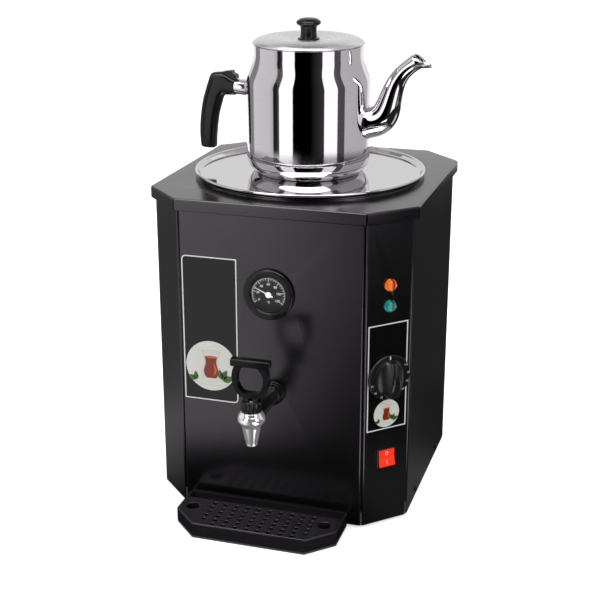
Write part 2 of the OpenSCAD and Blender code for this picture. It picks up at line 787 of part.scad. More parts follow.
loop_low = 3;            // lowest point of the loop above the pin
foot_low = 6.4;          // underside of the lever's foot above the pin, clear of the collar
bar_t = 8.5;
bar_deep = 12;
loop_ring = 5.6;         // width of the loop's arms

function ellipse(a, b, cz, n = 64) = [for (i = [0 : n - 1]) [a * cos(360 * i / n),
    cz + b * sin(360 * i / n)]];

// A loop under a cross bar, on a foot that turns on the pin
module tap_lever() color("#121214") at_tap() translate([0, 0, pin_z]) {
    b = (bar_rise - loop_low) * 0.66;
    cz = loop_low + b;
    difference() {
        union() {
            rotate([90, 0, 0]) linear_extrude(loop_t, center = true) intersection() {
                polygon(ellipse(loop_a, b, cz));
                translate([-loop_a, foot_low]) square([2 * loop_a, bar_rise - foot_low]);
            }
            translate([0, 0, foot_low]) linear_extrude(5)
                square([2 * cheek_w + 4, loop_t], center = true);
            translate([0, 0, bar_rise + bar_t / 2]) rotate([0, 90, 0]) intersection() {
                cylinder(r = bar_deep / 2, h = bar_w, center = true);
                cube([bar_t, bar_deep, bar_w], center = true);
            }
            translate([-cheek_w, -3.5, 0]) cube([2 * cheek_w, 7, foot_low + 2]);
            rotate([0, 90, 0]) cylinder(r = hub_r, h = 2 * cheek_w, center = true);
        }
        rotate([90, 0, 0]) linear_extrude(4 * loop_t, center = true) intersection() {
            polygon(ellipse(loop_a - loop_ring, b * 0.68, cz - 2));
            translate([-loop_a, foot_low + 4]) square([2 * loop_a, bar_rise - foot_low - 4]);
        }
        rotate([0, 90, 0]) cylinder(r = hub_r + 1, h = 2 * link_w, center = true);
        rotate([0, 90, 0]) cylinder(r = pin_r + slip, h = 6 * cheek_w, center = true);
    }
}

module tap_pin() color("#c4c5c8") at_tap() translate([0, 0, pin_z]) rotate([0, 90, 0])
    cylinder(r = pin_r, h = 2 * collar_r - 1.5, center = true);

// ---- drip tray ----------------------------------------------------------------------------

tray_back = 0.4;          // gap between the tray and the front panel
lip_h = 4;                // depth of the grid's edge inside the tray

// Plan of the tray, from one distance behind its front edge, taken in by a distance
module tray_plan(back, inset = 0) {
    w = tray_w / 2 - inset;
    f = tray_d - inset;
    k = tray_corner - inset * (2 - sqrt(2));
    translate([tray_x, front_y]) polygon([[-w, -back], [-w, -f + k], [-w + k, -f], [w - k, -f],
        [w, -f + k], [w, -back]]);
}

module drip_tray() color("#1a1a1c") difference() {
    linear_extrude(tray_h - grid_t) tray_plan(tray_back);
    translate([0, 0, tray_wall]) linear_extrude(40) tray_plan(tray_back + tray_wall, tray_wall);
    translate([tray_x - tray_w, front_y - grid_back + play, tray_h - grid_t - 3])
        cube([2 * tray_w, 60, 20]);
}

module hole_grid() {
    for (row = [0 : 5], col = [0 : 9])
        if (row < 5 || (col > 0 && col < 9))
            translate([tray_x + (col - 4.5) * hole_dx + 4, front_y - grid_back - 8 - row * hole_dy])
                circle(r = hole_r, $fn = 24);
    for (s = [-1, 1]) translate([tray_x + s * (tray_w / 2 - 16.5), front_y - grid_back - 20])
        circle(r = finger_r);
}

module drip_grid() color("#232326") {
    translate([0, 0, tray_h - grid_t]) linear_extrude(grid_t) difference() {
        tray_plan(grid_back);
        hole_grid();
    }
    translate([0, 0, tray_h - grid_t - lip_h]) linear_extrude(lip_h) difference() {
        tray_plan(grid_back, tray_wall + play);
        tray_plan(grid_back + grid_t, tray_wall + play + grid_t);
    }
}

// ---- tank lid -----------------------------------------------------------------------------

bead_r = 1.1;

module tank_lid() color("#d0d1d3") {
    rotate_extrude() polygon([[0, flange_top], [lid_flat_r, flange_top],
        [lid_r, pot_z0 + lid_rise - bead_r], [lid_r - lid_t, pot_z0 + lid_rise - bead_r],
        [lid_flat_r - 0.5, pot_z0], [0, pot_z0]]);
    translate([0, 0, pot_z0 + lid_rise - bead_r]) rotate_extrude()
        translate([lid_r - 0.4, 0]) circle(r = bead_r, $fn = 24);
    translate([0, 0, flange_top - lid_ring]) difference() {
        cylinder(r = tank_in - 2 * play, h = lid_ring + eps);
        translate([0, 0, -1]) cylinder(r = tank_in - 2 * play - lid_t, h = lid_ring + 1);
    }
}

// ---- teapot -------------------------------------------------------------------------------

m4_r = 2;
m4_head_r = 4;
m4_head_h = 2;

module at_pot() { translate([pot_x, pot_y, pot_z0]) children(); }

curve_z = 20.2;           // height at which the body's rounded lower edge starts
curve_r = ((pot_r - pot_base_r) * (pot_r - pot_base_r) + curve_z * curve_z)
    / (2 * (pot_r - pot_base_r));

// Outline of the rounded lower edge between two heights, taken in by a distance
function low_edge(z0, z1, inset, n = 8) = [for (i = [0 : n]) let (z = z0 + (z1 - z0) * i / n)
    [pot_r - curve_r + sqrt(curve_r * curve_r - (curve_z - z) * (curve_z - z)) - inset, z]];

// Outline of the shoulder between the straight wall and the neck
function shoulder(inset, n = 12) = [for (i = [0 : n]) let (t = i / n)
    [pot_r - (pot_r - neck_r) * (1 - cos(180 * t)) / 2 - inset,
     shoulder_z + (neck_z - shoulder_z) * t]];

module teapot_body() color("#d8d9db") at_pot() difference() {
    rotate_extrude() polygon(concat([[0, base_t]], low_edge(base_t, curve_z, 0, 4), shoulder(0),
        [[neck_r, pot_h], [0, pot_h]]));
    rotate_extrude() polygon(concat([[0, base_t + pot_wall]],
        low_edge(base_t + pot_wall, curve_z, pot_wall, 4), shoulder(pot_wall),
        [[neck_r - pot_wall, pot_h + 1], [0, pot_h + 1]]));
    translate([0, 0, spout_z0]) rotate([0, 90, 0]) cylinder(r = 11, h = 100);
    translate([-100, 0, ferrule_z]) rotate([0, 90, 0]) cylinder(r = m4_r, h = 50);
}

module teapot_base() color("#c9cacd") at_pot() rotate_extrude()
    polygon(concat([[0, 0]], low_edge(0, base_t, 0), [[0, base_t]]));

// Centre line of the spout: distance from the axis, height, radius and lean from upright
spout_z0 = 59.5;
spout_line = [[62, 59.5, 18, 90], [74, 60.5, 17.8, 84], [84, 64, 17.2, 62], [91, 71, 16.2, 38],
    [95, 81, 14.8, 20], [98, 92, 13.2, 15], [101, 102, 11.8, 18], [105, 111, 10.4, 28],
    [111, 119.5, 9.3, 40], [119, 127, 8.8, 48], [126.5, 132.6, 9.2, 52]];
mouth_mid = [133.8, 134.2];        // middle of the slanting mouth
mouth_half = 12.5;                 // half length of the mouth
mouth_wide = 8.6;                  // half width of the mouth
mouth_turn = -34.6;                // angle of the mouth's face
spout_wall = 1.2;

function spout_ring(s, wall, n = 24) = [for (k = [0 : n - 1]) let (a = 360 * k / n,
        r = s[2] - wall) [s[0] - r * sin(a) * cos(s[3]), r * cos(a), s[1] + r * sin(a) *
        sin(s[3])]];
function mouth_ring(wall, out, n = 24) = [for (k = [0 : n - 1]) let (a = 360 * k / n,
        h = mouth_half - 1.2 * wall, u = -h * sin(a))
    [mouth_mid[0] + u * cos(mouth_turn) - out * sin(mouth_turn), (mouth_wide - wall) * cos(a),
     mouth_mid[1] + u * sin(mouth_turn) + out * cos(mouth_turn)]];

module spout_tube(wall, out) {
    n = 24;
    rings = concat([for (s = spout_line) spout_ring(s, wall)], [mouth_ring(wall, out)]);
    m = len(rings);
    polyhedron([for (r = rings, p = r) p], concat(
        [[for (k = [0 : n - 1]) k]],
        [for (i = [0 : m - 2], k = [0 : n - 1])
            [i * n + k, (i + 1) * n + k, (i + 1) * n + (k + 1) % n, i * n + (k + 1) % n]],
        [[for (k = [n - 1 : -1 : 0]) (m - 1) * n + k]]), 10);
}

module teapot_spout() color("#d8d9db") at_pot() difference() {
    spout_tube(0, 0);
    spout_tube(spout_wall, 0.2);
    cylinder(r = pot_r, h = 200);
}

ferrule_z = 93.5;
ferrule_end = 90;
module handle_ferrule() color("#c9cacd") at_pot() difference() {
    translate([-ferrule_end, 0, ferrule_z]) rotate([0, 90, 0])
        cylinder(r1 = 8.5, r2 = 9.6, h = ferrule_end - 60);
    cylinder(r = pot_r, h = 200);
    translate([-100, 0, ferrule_z]) rotate([0, 90, 0]) cylinder(r = m4_r, h = 50);
}

// Side outline of the handle: distance from the axis and height, clockwise from the arm's top
grip_side = [[-ferrule_end, 103.2], [-85, 104.5], [-86.5, 107.5], [-91.5, 109.5], [-92, 112.6],
    [-101, 111.6], [-110, 109.7], [-119.5, 106], [-124.5, 94], [-129.3, 79], [-132.4, 62],
    [-134, 48], [-134.2, 40], [-133, 20.2], [-115, 20.2], [-114.4, 35], [-113, 48], [-111, 60],
    [-108.5, 70], [-105, 82], [-103, 84], [-ferrule_end, 84]];

module teapot_handle() color("#141416") at_pot() difference() {
    union() for (s = [[grip_t, 2.5], [grip_t - 3.5, 1], [grip_t - 7, 0]])
        rotate([90, 0, 0]) linear_extrude(s[0], center = true) offset(delta = -s[1])
            polygon(grip_side);
    translate([-ferrule_end, 0, ferrule_z]) rotate([0, 90, 0]) cylinder(r = 9, h = 30);
    translate([-ferrule_end - 12, 0, ferrule_z]) rotate([0, 90, 0]) cylinder(r = m4_r, h = 50);
}

module handle_screw() color("#b9babd") at_pot() translate([0, 0, ferrule_z]) {
    translate([-ferrule_end - 12, 0, 0]) rotate([0, 90, 0])
        cylinder(r = m4_r, h = ferrule_end + 13 - pot_r + pot_wall);
    translate([-pot_r + pot_wall + 0.2, 0, 0]) rotate([0, 90, 0])
        cylinder(r = m4_head_r, h = 1.6);
}

// Pressed lid: steep rounded edge, raised ring and a slightly sunken middle
lid_side = [[0, 4.6], [14, 4.8], [24, 5.8], [36, 7.7], [46, 8.5], [54, 7.6], [60, 5.4],
    [63.4, 2.6], [64.5, 0.4], [64.5, 0]];
lid_shape = [for (p = lid_side) [p[0] * pot_lid_r / lid_side[len(lid_side) - 1][0],
    p[1] * dome_h / max([for (q = lid_side) q[1]])]];
lid_sheet = 0.8;
lid_plug = neck_r - pot_wall - play;   // radius of the lid's ring inside the neck
module teapot_lid() color("#d3d4d6") at_pot() translate([0, 0, pot_h]) difference() {
    union() {
        rotate_extrude() polygon(concat([[0, 0]],
            [for (i = [len(lid_shape) - 1 : -1 : 0]) lid_shape[i]]));
        translate([0, 0, -6]) cylinder(r = lid_plug, h = 6 + eps);
    }
    translate([0, 0, -lid_sheet]) rotate_extrude() polygon(concat([[0, -10],
            [lid_plug - lid_sheet, -10], [lid_plug - lid_sheet, 0.4 * dome_h]],
        [for (i = [5 : -1 : 0]) [lid_shape[i][0] - (i > 0 ? lid_sheet / 2 : 0),
            lid_shape[i][1]]]));
    cylinder(r = m4_r, h = 60, center = true);
}

knob_low = pot_h + lid_shape[0][1] + 0.1;
module lid_knob() color("#17171a") at_pot() translate([0, 0, knob_low]) difference() {
    rotate_extrude() polygon([[0, 0.1], [12.5, 0.1], [12.5, 1.2], [9.6, 2], [9.2, cap_h - 10],
        [10.4, cap_h - 8.6], [cap_r - 0.8, cap_h - 7], [cap_r, cap_h - 5], [cap_r - 1.2, cap_h -
        3.2], [cap_r - 4, cap_h - 1.2], [cap_r - 8, cap_h], [0, cap_h]]);
    translate([0, 0, -1]) cylinder(r = m4_r, h = 12);
}

module knob_screw() color("#b9babd") at_pot()
    translate([0, 0, pot_h + lid_shape[0][1] - lid_sheet - m4_head_h]) {
    cylinder(r = m4_head_r, h = m4_head_h);
    cylinder(r = m4_r, h = 12);
}

front_panel();
control_panel();
casing_wrap();
top_cover();
base_plate();
rubber_feet();
foot_screws();
casing_screws();
tank();
tank_gasket();
insulation_jacket();
heating_element();
element_nuts();
element_gaskets();
safety_cutout();
thermostat_body();
thermostat_shaft();
thermostat_bulb();
thermostat_knob();
lamp_lens_orange();
lamp_lens_green();
lamp_holders();
switch_frame();
switch_rocker();
terminal_block();
earth_stud();
cable_gland();
gland_nut();
thermometer_case();
thermometer_dial();
thermometer_needle();
thermometer_glass();
thermometer_probe();
thermometer_clamp();
front_decal();
control_decal();
tap_barrel();
tap_gasket();
tap_locknut();
tap_spout();
tap_collar();
tap_stem();
tap_seal();
tap_spring();
tap_lever();
tap_pin();
drip_tray();
drip_grid();
tank_lid();
teapot_body();
teapot_base();
teapot_spout();
handle_ferrule();
teapot_handle();
handle_screw();
teapot_lid();
lid_knob();
knob_screw();
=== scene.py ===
from math import asin, cos, pi, radians, sin, sqrt, tan

import bmesh
import bpy
from mathutils import Matrix, Vector
from mathutils.geometry import tessellate_polygon


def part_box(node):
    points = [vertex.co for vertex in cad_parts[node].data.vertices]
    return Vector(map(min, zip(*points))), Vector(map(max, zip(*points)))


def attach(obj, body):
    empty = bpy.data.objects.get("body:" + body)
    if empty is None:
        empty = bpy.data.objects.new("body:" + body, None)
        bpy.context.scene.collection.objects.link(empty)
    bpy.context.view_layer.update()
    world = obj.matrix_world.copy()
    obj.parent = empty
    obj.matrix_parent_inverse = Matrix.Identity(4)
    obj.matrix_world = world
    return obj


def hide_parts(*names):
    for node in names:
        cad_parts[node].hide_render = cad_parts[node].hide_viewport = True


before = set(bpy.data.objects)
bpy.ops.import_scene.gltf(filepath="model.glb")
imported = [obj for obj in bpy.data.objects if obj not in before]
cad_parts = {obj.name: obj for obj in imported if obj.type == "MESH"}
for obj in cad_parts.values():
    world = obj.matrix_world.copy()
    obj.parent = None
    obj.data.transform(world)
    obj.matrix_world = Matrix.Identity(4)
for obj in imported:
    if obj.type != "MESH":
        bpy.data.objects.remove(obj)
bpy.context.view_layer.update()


# ---- Casing ----
# The body is three panels of 1.2 mm steel sheet: a front, a corner face for the controls and a wrap
# round the rest. Each is bent at its corners, powder coated satin black, and screwed to a base pan.
MM = 0.001
sheet = 1.2
seam = 0.35                # half of the gap between two panels
return_w = 8               # edge that each panel turns inwards at a seam
bend_r = 2.0


def box_mm(node):
    """The two far corners of a solid, in millimetres."""
    return [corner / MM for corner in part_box(node)]


def mid_mm(node):
    """The middle of a solid, in millimetres."""
    low, high = box_mm(node)
    return (low + high) / 2


wrap_lo, wrap_hi = box_mm("casing_wrap")
half_w = wrap_hi.x
half_d = wrap_hi.y
face_w = box_mm("front_panel")[1].x                # half width of the front panel
corner_leg = half_w - face_w
panel_low, panel_top = wrap_lo.z, wrap_hi.z


def rounded(points, radius, steps=5, closed=False):
    """The points of a line with its corners turned to arcs. radius is one number, or one a point."""
    count = len(points)
    radii = radius if isinstance(radius, (list, tuple)) else [radius] * count
    line = []
    for i, point in enumerate(points):
        here = Vector(point)
        if (i in (0, count - 1) and not closed) or radii[i] <= 0:
            line.append(here)
            continue
        back = Vector(points[i - 1]) - here
        ahead = Vector(points[(i + 1) % count]) - here
        half = back.angle(ahead) / 2
        cut = min(radii[i] / tan(half), 0.49 * back.length, 0.49 * ahead.length)
        start = here + back.normalized() * cut
        end = here + ahead.normalized() * cut
        centre = here + (back.normalized() + ahead.normalized()).normalized() * (cut / cos(half))
        swing = pi - 2 * half
        for k in range(steps + 1):
            share = sin(swing * (1 - k / steps)), sin(swing * k / steps)
            arm = ((start - centre) * share[0] + (end - centre) * share[1]) / sin(swing)
            line.append(centre + arm)
    return line


def circle(radius, count=64, x=0.0, y=0.0):
    """The points of a circle."""
    return [Vector((x + radius * cos(2 * pi * k / count), y + radius * sin(2 * pi * k / count)))
            for k in range(count)]


def arc(x, y, radius, first, last, steps=8):
    """Points of an arc between two angles in degrees."""
    turns = [radians(first + (last - first) * k / steps) for k in range(steps + 1)]
    return [Vector((x + radius * cos(a), y + radius * sin(a))) for a in turns]


def flat_ring(line, z):
    """A plan line as a ring at a height."""
    return [(p[0], p[1], z) for p in line]


def pane(loops, place, up=True):
    """A flat face: the first loop is its outline and the others are holes in it."""
    flat = [Vector(point).to_3d() for loop in loops for point in loop]
    faces = []
    for a, b, c in tessellate_polygon([[Vector(point).to_3d() for point in loop] for loop in loops]):
        turn = (flat[b] - flat[a]).cross(flat[c] - flat[a]).z
        if abs(turn) > 1e-9:
            faces.append((a, b, c) if (turn > 0) == up else (c, b, a))
    return [place(point.x, point.y) for point in flat], faces


def skin(rings, first=False, last=False, closed=True):
    """Skins a row of rings of equally many points, and closes its first or last end if asked."""
    count = len(rings[0])
    points = [point for ring in rings for point in ring]
    faces = []
    for i in range(len(rings) - 1):
        for k in range(count if closed else count - 1):
            after = (k + 1) % count
            faces.append((i * count + k, i * count + after, (i + 1) * count + after,
                          (i + 1) * count + k))
    if first:
        faces.append(tuple(reversed(range(count))))
    if last:
        faces.append(tuple(range((len(rings) - 1) * count, len(rings) * count)))
    return points, faces


def solid_from(outline, low, high, place=lambda x, y, z: (x, y, z), holes=()):
    """A flat plate with straight walls: an outline and its holes, from one height to another."""
    loops = [outline] + list(holes)
    parts = [pane(loops, lambda x, y: place(x, y, high)),
             pane(loops, lambda x, y: place(x, y, low), False)]
    for loop in loops:
        parts.append(skin([[place(p[0], p[1], z) for p in loop] for z in (low, high)]))
    return parts


def piece(name, parts, coat, body, nodes=(), place=Matrix(), crease=32, outward=True):
    """Joins parts, given in millimetres, into one object that rides a body and stands for nodes."""
    points, faces = [], []
    for part_points, part_faces in parts:
        base = len(points)
        points += [place @ Vector(point) * MM for point in part_points]
        faces += [tuple(base + k for k in face) for face in part_faces]
    mesh = bpy.data.meshes.new(name)
    mesh.from_pydata(points, [], faces)
    work = bmesh.new()
    work.from_mesh(mesh)
    bmesh.ops.remove_doubles(work, verts=work.verts, dist=0.004 * MM)
    if outward:
        bmesh.ops.recalc_face_normals(work, faces=work.faces)
    work.to_mesh(mesh)
    work.free()
    mesh.shade_smooth()
    mesh.set_sharp_from_angle(angle=radians(crease))
    mesh.materials.append(coat)
    made = bpy.data.objects.new(name, mesh)
    bpy.context.collection.objects.link(made)
    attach(made, body)
    if nodes:
        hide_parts(*nodes)
    return made


def thicken(made, thickness):
    """Gives an open sheet its thickness, inwards, and keeps its flat faces evenly shaded."""
    solid = made.modifiers.new("sheet", "SOLIDIFY")
    solid.thickness = thickness * MM
    solid.offset = -1
    even = made.modifiers.new("shading", "WEIGHTED_NORMAL")
    even.keep_sharp = True
    even.weight = 80


def soften(made, width, segments=3, angle=40):
    """Rounds the sharp edges of a piece."""
    bevel = made.modifiers.new("edges", "BEVEL")
    bevel.width = width * MM
    bevel.segments = segments
    bevel.limit_method = "ANGLE"
    bevel.angle_limit = radians(angle)
    bevel.harden_normals = True


def shader_group(name, inputs, outputs):
    """An empty shader node group with named number inputs and outputs."""
    tree = bpy.data.node_groups.new(name, "ShaderNodeTree")
    for label, value in inputs.items():
        kind = "NodeSocketVector" if isinstance(value, tuple) else "NodeSocketFloat"
        socket = tree.interface.new_socket(label, in_out="INPUT", socket_type=kind)
        socket.default_value = value
    for label in outputs:
        tree.interface.new_socket(label, in_out="OUTPUT", socket_type="NodeSocketFloat")
    return tree, tree.nodes.new("NodeGroupInput"), tree.nodes.new("NodeGroupOutput")


def add_node(tree, kind, sockets=None, **settings):
    """A node with its settings and its sockets, each a value or another node's output."""
    made = tree.nodes.new("ShaderNode" + kind)
    for label, value in settings.items():
        setattr(made, label, value)
    for label, value in (sockets or {}).items():
        if isinstance(value, bpy.types.NodeSocket):
            tree.links.new(value, made.inputs[label])
        else:
            made.inputs[label].default_value = value
    return made


def noise(tree, where, scale, detail=2.0, rough=0.5):
    """The value of a noise texture at a place."""
    made = add_node(tree, "TexNoise", {"Vector": where, "Scale": scale, "Detail": detail,
                                       "Roughness": rough})
    return made.outputs["Fac"]


def spread(tree, value, low, high, to_low=0.0, to_high=1.0):
    """Maps a value from one range to another, and keeps it inside."""
    made = add_node(tree, "MapRange", {"Value": value, "From Min": low, "From Max": high,
                                       "To Min": to_low, "To Max": to_high})
    return made.outputs["Result"]


# Fine grain of a coat or a moulding, with a slow change of tone and gloss over the surface
grain, grain_in, grain_out = shader_group("surface_grain", {"Grain": 900.0, "Patches": 9.0},
                                          ("Height", "Gloss", "Tone"))
grain_at = grain.nodes.new("ShaderNodeTexCoord").outputs["Object"]
fine = noise(grain, grain_at, grain_in.outputs["Grain"], 3.0)
slow = noise(grain, grain_at, grain_in.outputs["Patches"], 4.0, 0.6)
grain.links.new(fine, grain_out.inputs["Height"])
grain.links.new(spread(grain, slow, 0.3, 0.7), grain_out.inputs["Gloss"])
grain.links.new(spread(grain, fine, 0.25, 0.75), grain_out.inputs["Tone"])


def coat(name, colour, second=None, rough=0.5, rough_to=None, metal=0.0, group=None, values=None,
         bump=0.0, **sockets):
    """A Principled material. The group's Tone mixes two colours and its Gloss two roughnesses."""
    made = bpy.data.materials.new(name)
    made.use_nodes = True
    tree = made.node_tree
    shader = tree.nodes["Principled BSDF"]
    shader.inputs["Base Color"].default_value = (*colour, 1)
    shader.inputs["Roughness"].default_value = rough
    shader.inputs["Metallic"].default_value = metal
    for label, value in sockets.items():
        shader.inputs[label.replace("_", " ")].default_value = value
    if group is None:
        return made
    surface = tree.nodes.new("ShaderNodeGroup")
    surface.node_tree = group
    for label, value in (values or {}).items():
        surface.inputs[label].default_value = value
    if second:
        mix = add_node(tree, "Mix", data_type="RGBA")
        mix.inputs[6].default_value = (*colour, 1)
        mix.inputs[7].default_value = (*second, 1)
        tree.links.new(surface.outputs["Tone"], mix.inputs[0])
        tree.links.new(mix.outputs[2], shader.inputs["Base Color"])
    if rough_to is not None:
        gloss = spread(tree, surface.outputs["Gloss"], 0, 1, rough, rough_to)
        tree.links.new(gloss, shader.inputs["Roughness"])
    if bump:
        relief = add_node(tree, "Bump", {"Height": surface.outputs["Height"],
                                         "Distance": bump * MM, "Strength": 1.0})
        tree.links.new(relief.outputs["Normal"], shader.inputs["Normal"])
    return made


def grained(name, colour, second, rough, rough_to, size, patches, bump=0.0, metal=0.0, **sockets):
    """A coat with fine grain. size and patches are how many grains and patches fit in a metre."""
    return coat(name, colour, second, rough, rough_to, metal, grain, {"Grain": size, "Patches": patches},
                bump, **sockets)


powder_coat = grained("black powder coat", (0.002, 0.0018, 0.0021), (0.0032, 0.003, 0.0034), 0.17, 0.23,
                      1300, 7, 0.02, IOR=1.68, Specular_Tint=(1.0, 0.94, 1.0, 1.0))


def turned(point, other):
    """The unit vector from one plan point to another."""
    return (Vector(other) - Vector(point)).normalized()


def octagon(out=0.0):
    """Corners of the casing's plan, moved out by a distance, clockwise from the left front side."""
    x, y = half_w + out, half_d + out
    leg = corner_leg + out * (2 - sqrt(2))
    return [Vector(p) for p in ((-x, -y + leg), (-x + leg, -y), (x - leg, -y), (x, -y + leg),
                                (x, y - leg), (x - leg, y), (-x + leg, y), (-x, y - leg))]


def bent_panel(corners, holes):
    """A panel that follows plan corners. At both ends it turns inwards along the corner's bisector.
    holes gives, for the number of a flat face, its loops as (along the face from its middle, height).
    """
    plan = octagon()
    line = [plan[i] for i in corners]
    ends = []
    for i, near in ((corners[0], line[1]), (corners[-1], line[-2])):
        inward = (turned(plan[i], plan[i - 1]) + turned(plan[i], plan[(i + 1) % 8])).normalized()
        edge = plan[i] + turned(plan[i], near) * seam
        ends.append((edge, edge + inward * return_w))
    line[0], line[-1] = ends[0][0], ends[1][0]
    line = [ends[0][1]] + line + [ends[1][1]]
    path = rounded(line, bend_r)
    parts = []
    flat = 0
    for a, b in zip(path, path[1:]):
        middle, along = (a + b) / 2, turned(a, b)
        half = (b - a).length / 2
        if half < 2 * bend_r:
            parts.append(([(a.x, a.y, panel_low), (b.x, b.y, panel_low), (b.x, b.y, panel_top),
                           (a.x, a.y, panel_top)], [(0, 1, 2, 3)]))
            continue
        edges = [(-half, panel_low), (half, panel_low), (half, panel_top), (-half, panel_top)]
        parts.append(pane([edges] + holes.get(flat, []),
                          lambda u, z: (middle.x + along.x * u, middle.y + along.y * u, z)))
        flat += 1
    return parts


def slot_loop(z, width, height):
    """The outline of a level slot with round ends, on the middle of a face."""
    reach = (width - height) / 2
    return arc(reach, z, height / 2, -90, 90, 6) + arc(-reach, z, height / 2, 90, 270, 6)


therm_lo, therm_hi = box_mm("thermometer_case")
therm_at = mid_mm("thermometer_case")
tap_at = mid_mm("tap_gasket")
gland_at = mid_mm("cable_gland")
knob_z = mid_mm("thermostat_knob").z
switch_z = mid_mm("switch_frame").z
lamp_heights = [mid_mm("lamp_lens_" + word).z for word in ("orange", "green")]
control_u = 1.0            # the controls' offset along the corner face
therm_hole, tap_hole, shaft_hole, lamp_hole, gland_hole, switch_hole = 23.3, 8.3, 4, 5.5, 8, 23
vent_w, vent_t, vent_low, vent_pitch, vents = 90, 3.5, 52, 11, 6
front_holes = [circle(therm_hole, 64, therm_at.x, therm_at.z), circle(tap_hole, 48, tap_at.x, tap_at.z)]
control_holes = [circle(shaft_hole, 32, control_u, knob_z)]
control_holes += [circle(lamp_hole, 32, control_u, z) for z in lamp_heights]
control_holes += [[(control_u + x * switch_hole / 2, switch_z + z * switch_hole / 2)
                   for x, z in ((-1, -1), (1, -1), (1, 1), (-1, 1))]]
back_holes = [slot_loop(vent_low + i * vent_pitch, vent_w, vent_t) for i in range(vents)]
back_holes += [circle(gland_hole, 32, -gland_at.x, gland_at.z)]
for node, corners, holes in (("front_panel", [1, 2], {0: front_holes}),
                             ("control_panel", [2, 3], {0: control_holes}),
                             ("casing_wrap", [3, 4, 5, 6, 7, 0, 1], {2: back_holes})):
    thicken(piece(node + "_sheet", bent_panel(corners, holes), powder_coat, "urn",
                  [node], outward=False), sheet)


# ---- Cover ----
# A flat top of the same coated sheet. Its four long and four short edges are folded down as separate
# flaps, with a thin slit at each corner, and the tank hangs through the round hole in it.
cover_lo, cover_hi = box_mm("top_cover")
cover_out = cover_hi.x - half_w
fold_r = 1.9
slit = 1.0                 # each flap ends this far from its corner
hem = 1.7                  # the flap's lower edge turns in a little
mouth_r = 112.5
flap_low = cover_lo.z
top = cover_hi.z

rim = octagon(cover_out - fold_r)
cover_parts = [pane([rim, circle(mouth_r, 128)], lambda x, y: (x, y, top))]
for a, b in zip(rim, rim[1:] + rim[:1]):
    along = turned(a, b)
    outward = Vector((along.y, -along.x))
    flap_side = arc(0, top - fold_r, fold_r, 90, 0, 7)
    flap_side += [(fold_r, flap_low + hem), (fold_r - 0.12 * hem, flap_low + 0.5 * hem),
                  (fold_r - 0.5 * hem, flap_low + 0.12 * hem), (fold_r - hem, flap_low)]
    flap = []
    for out, z in flap_side:
        reach = out * tan(radians(22.5)) - (slit if out > 0.3 * fold_r else 0)
        ends = (a - along * reach + outward * out, b + along * reach + outward * out)
        flap.append([(*ends[0], z), (*ends[1], z)])
    cover_parts.append(skin(flap, closed=False))
thicken(piece("top_cover_sheet", cover_parts, powder_coat, "urn", ["top_cover"]),
        sheet)

# A dark folded tab behind each slit, spot-welded to one flap, closes the corner. Its near-black colour is
# painted shade, the dark of the open corner joint.
tab_in, tab_reach = 1.1, 3.4
tab_low, tab_top = flap_low + 0.6, top - 1.4
tab_line = octagon(cover_out - tab_in)
tabs = []
for i, corner in enumerate(tab_line):
    bent = [corner + turned(corner, tab_line[i - 1]) * tab_reach, corner,
            corner + turned(corner, tab_line[(i + 1) % 8]) * tab_reach]
    tabs.append(skin([flat_ring(bent, z) for z in (tab_low, tab_top)], closed=False))
# Near black, matt and barely reflecting: painted shade inside the open corners
slit_shade_black = coat("painted slit shade", (0.0006, 0.0006, 0.0006), rough=0.9, IOR=1.1)
thicken(piece("cover_slit_shade_tabs", tabs, slit_shade_black, "urn", ["top_cover"]), 0.4)


# ---- Dish lid of the tank ----
# A spun stainless dish with a flat mirror middle, a sloping wall and a rolled rim. A locating ring
# spot-welded underneath drops into the tank's mouth, and the whole lid lifts off.
def spun(profile, count=128):
    """A profile of (radius, height) points turned about the upright axis."""
    points, faces, rows = [], [], []
    for r, z in profile:
        start = len(points)
        points += circle(r, count) if r > 1e-6 else [Vector((0, 0))]
        rows.append(range(start, len(points)))
        points[start:] = [(p.x, p.y, z) for p in points[start:]]
    for low, high in zip(rows, rows[1:]):
        for k in range(count):
            after = (k + 1) % count
            face = tuple(dict.fromkeys((low[k % len(low)], low[after % len(low)],
                                        high[after % len(high)], high[k % len(high)])))
            if len(face) > 2:
                faces.append(face)
    return points, faces


# Fine lines that run round a turned or spun piece, and slow waves in its polish
turning, turning_in, turning_out = shader_group(
    "turned_lines", {"Centre": (0.0, 0.0, 0.0), "Lines": 1800.0, "Waves": 14.0},
    ("Height", "Gloss", "Tone"))
turning_at = turning.nodes.new("ShaderNodeTexCoord").outputs["Object"]
from_axis = add_node(turning, "VectorMath", {0: turning_at, 1: turning_in.outputs["Centre"]},
                     operation="SUBTRACT").outputs[0]
apart = add_node(turning, "SeparateXYZ", {0: from_axis})
across = add_node(turning, "CombineXYZ", {0: apart.outputs[0], 1: apart.outputs[1]})
reach = add_node(turning, "VectorMath", {0: across.outputs[0]}, operation="LENGTH")
line_at = add_node(turning, "CombineXYZ", {0: reach.outputs["Value"], 1: apart.outputs[2]})
line_value = noise(turning, line_at.outputs[0], turning_in.outputs["Lines"], 2.0)
wave_value = noise(turning, turning_at, turning_in.outputs["Waves"], 1.0)
turning.links.new(wave_value, turning_out.inputs["Height"])
turning.links.new(spread(turning, line_value, 0.3, 0.7), turning_out.inputs["Gloss"])
turning.links.new(spread(turning, line_value, 0.2, 0.8), turning_out.inputs["Tone"])


def steel(name, rough, rough_to, lines, waves, bump, centre=(0.0, 0.0, 0.0)):
    """Polished stainless steel with its lines round an upright axis."""
    return coat(name, (0.67, 0.655, 0.668), (0.62, 0.607, 0.618), rough, rough_to, 1.0, turning,
                {"Centre": centre, "Lines": lines, "Waves": waves}, bump)


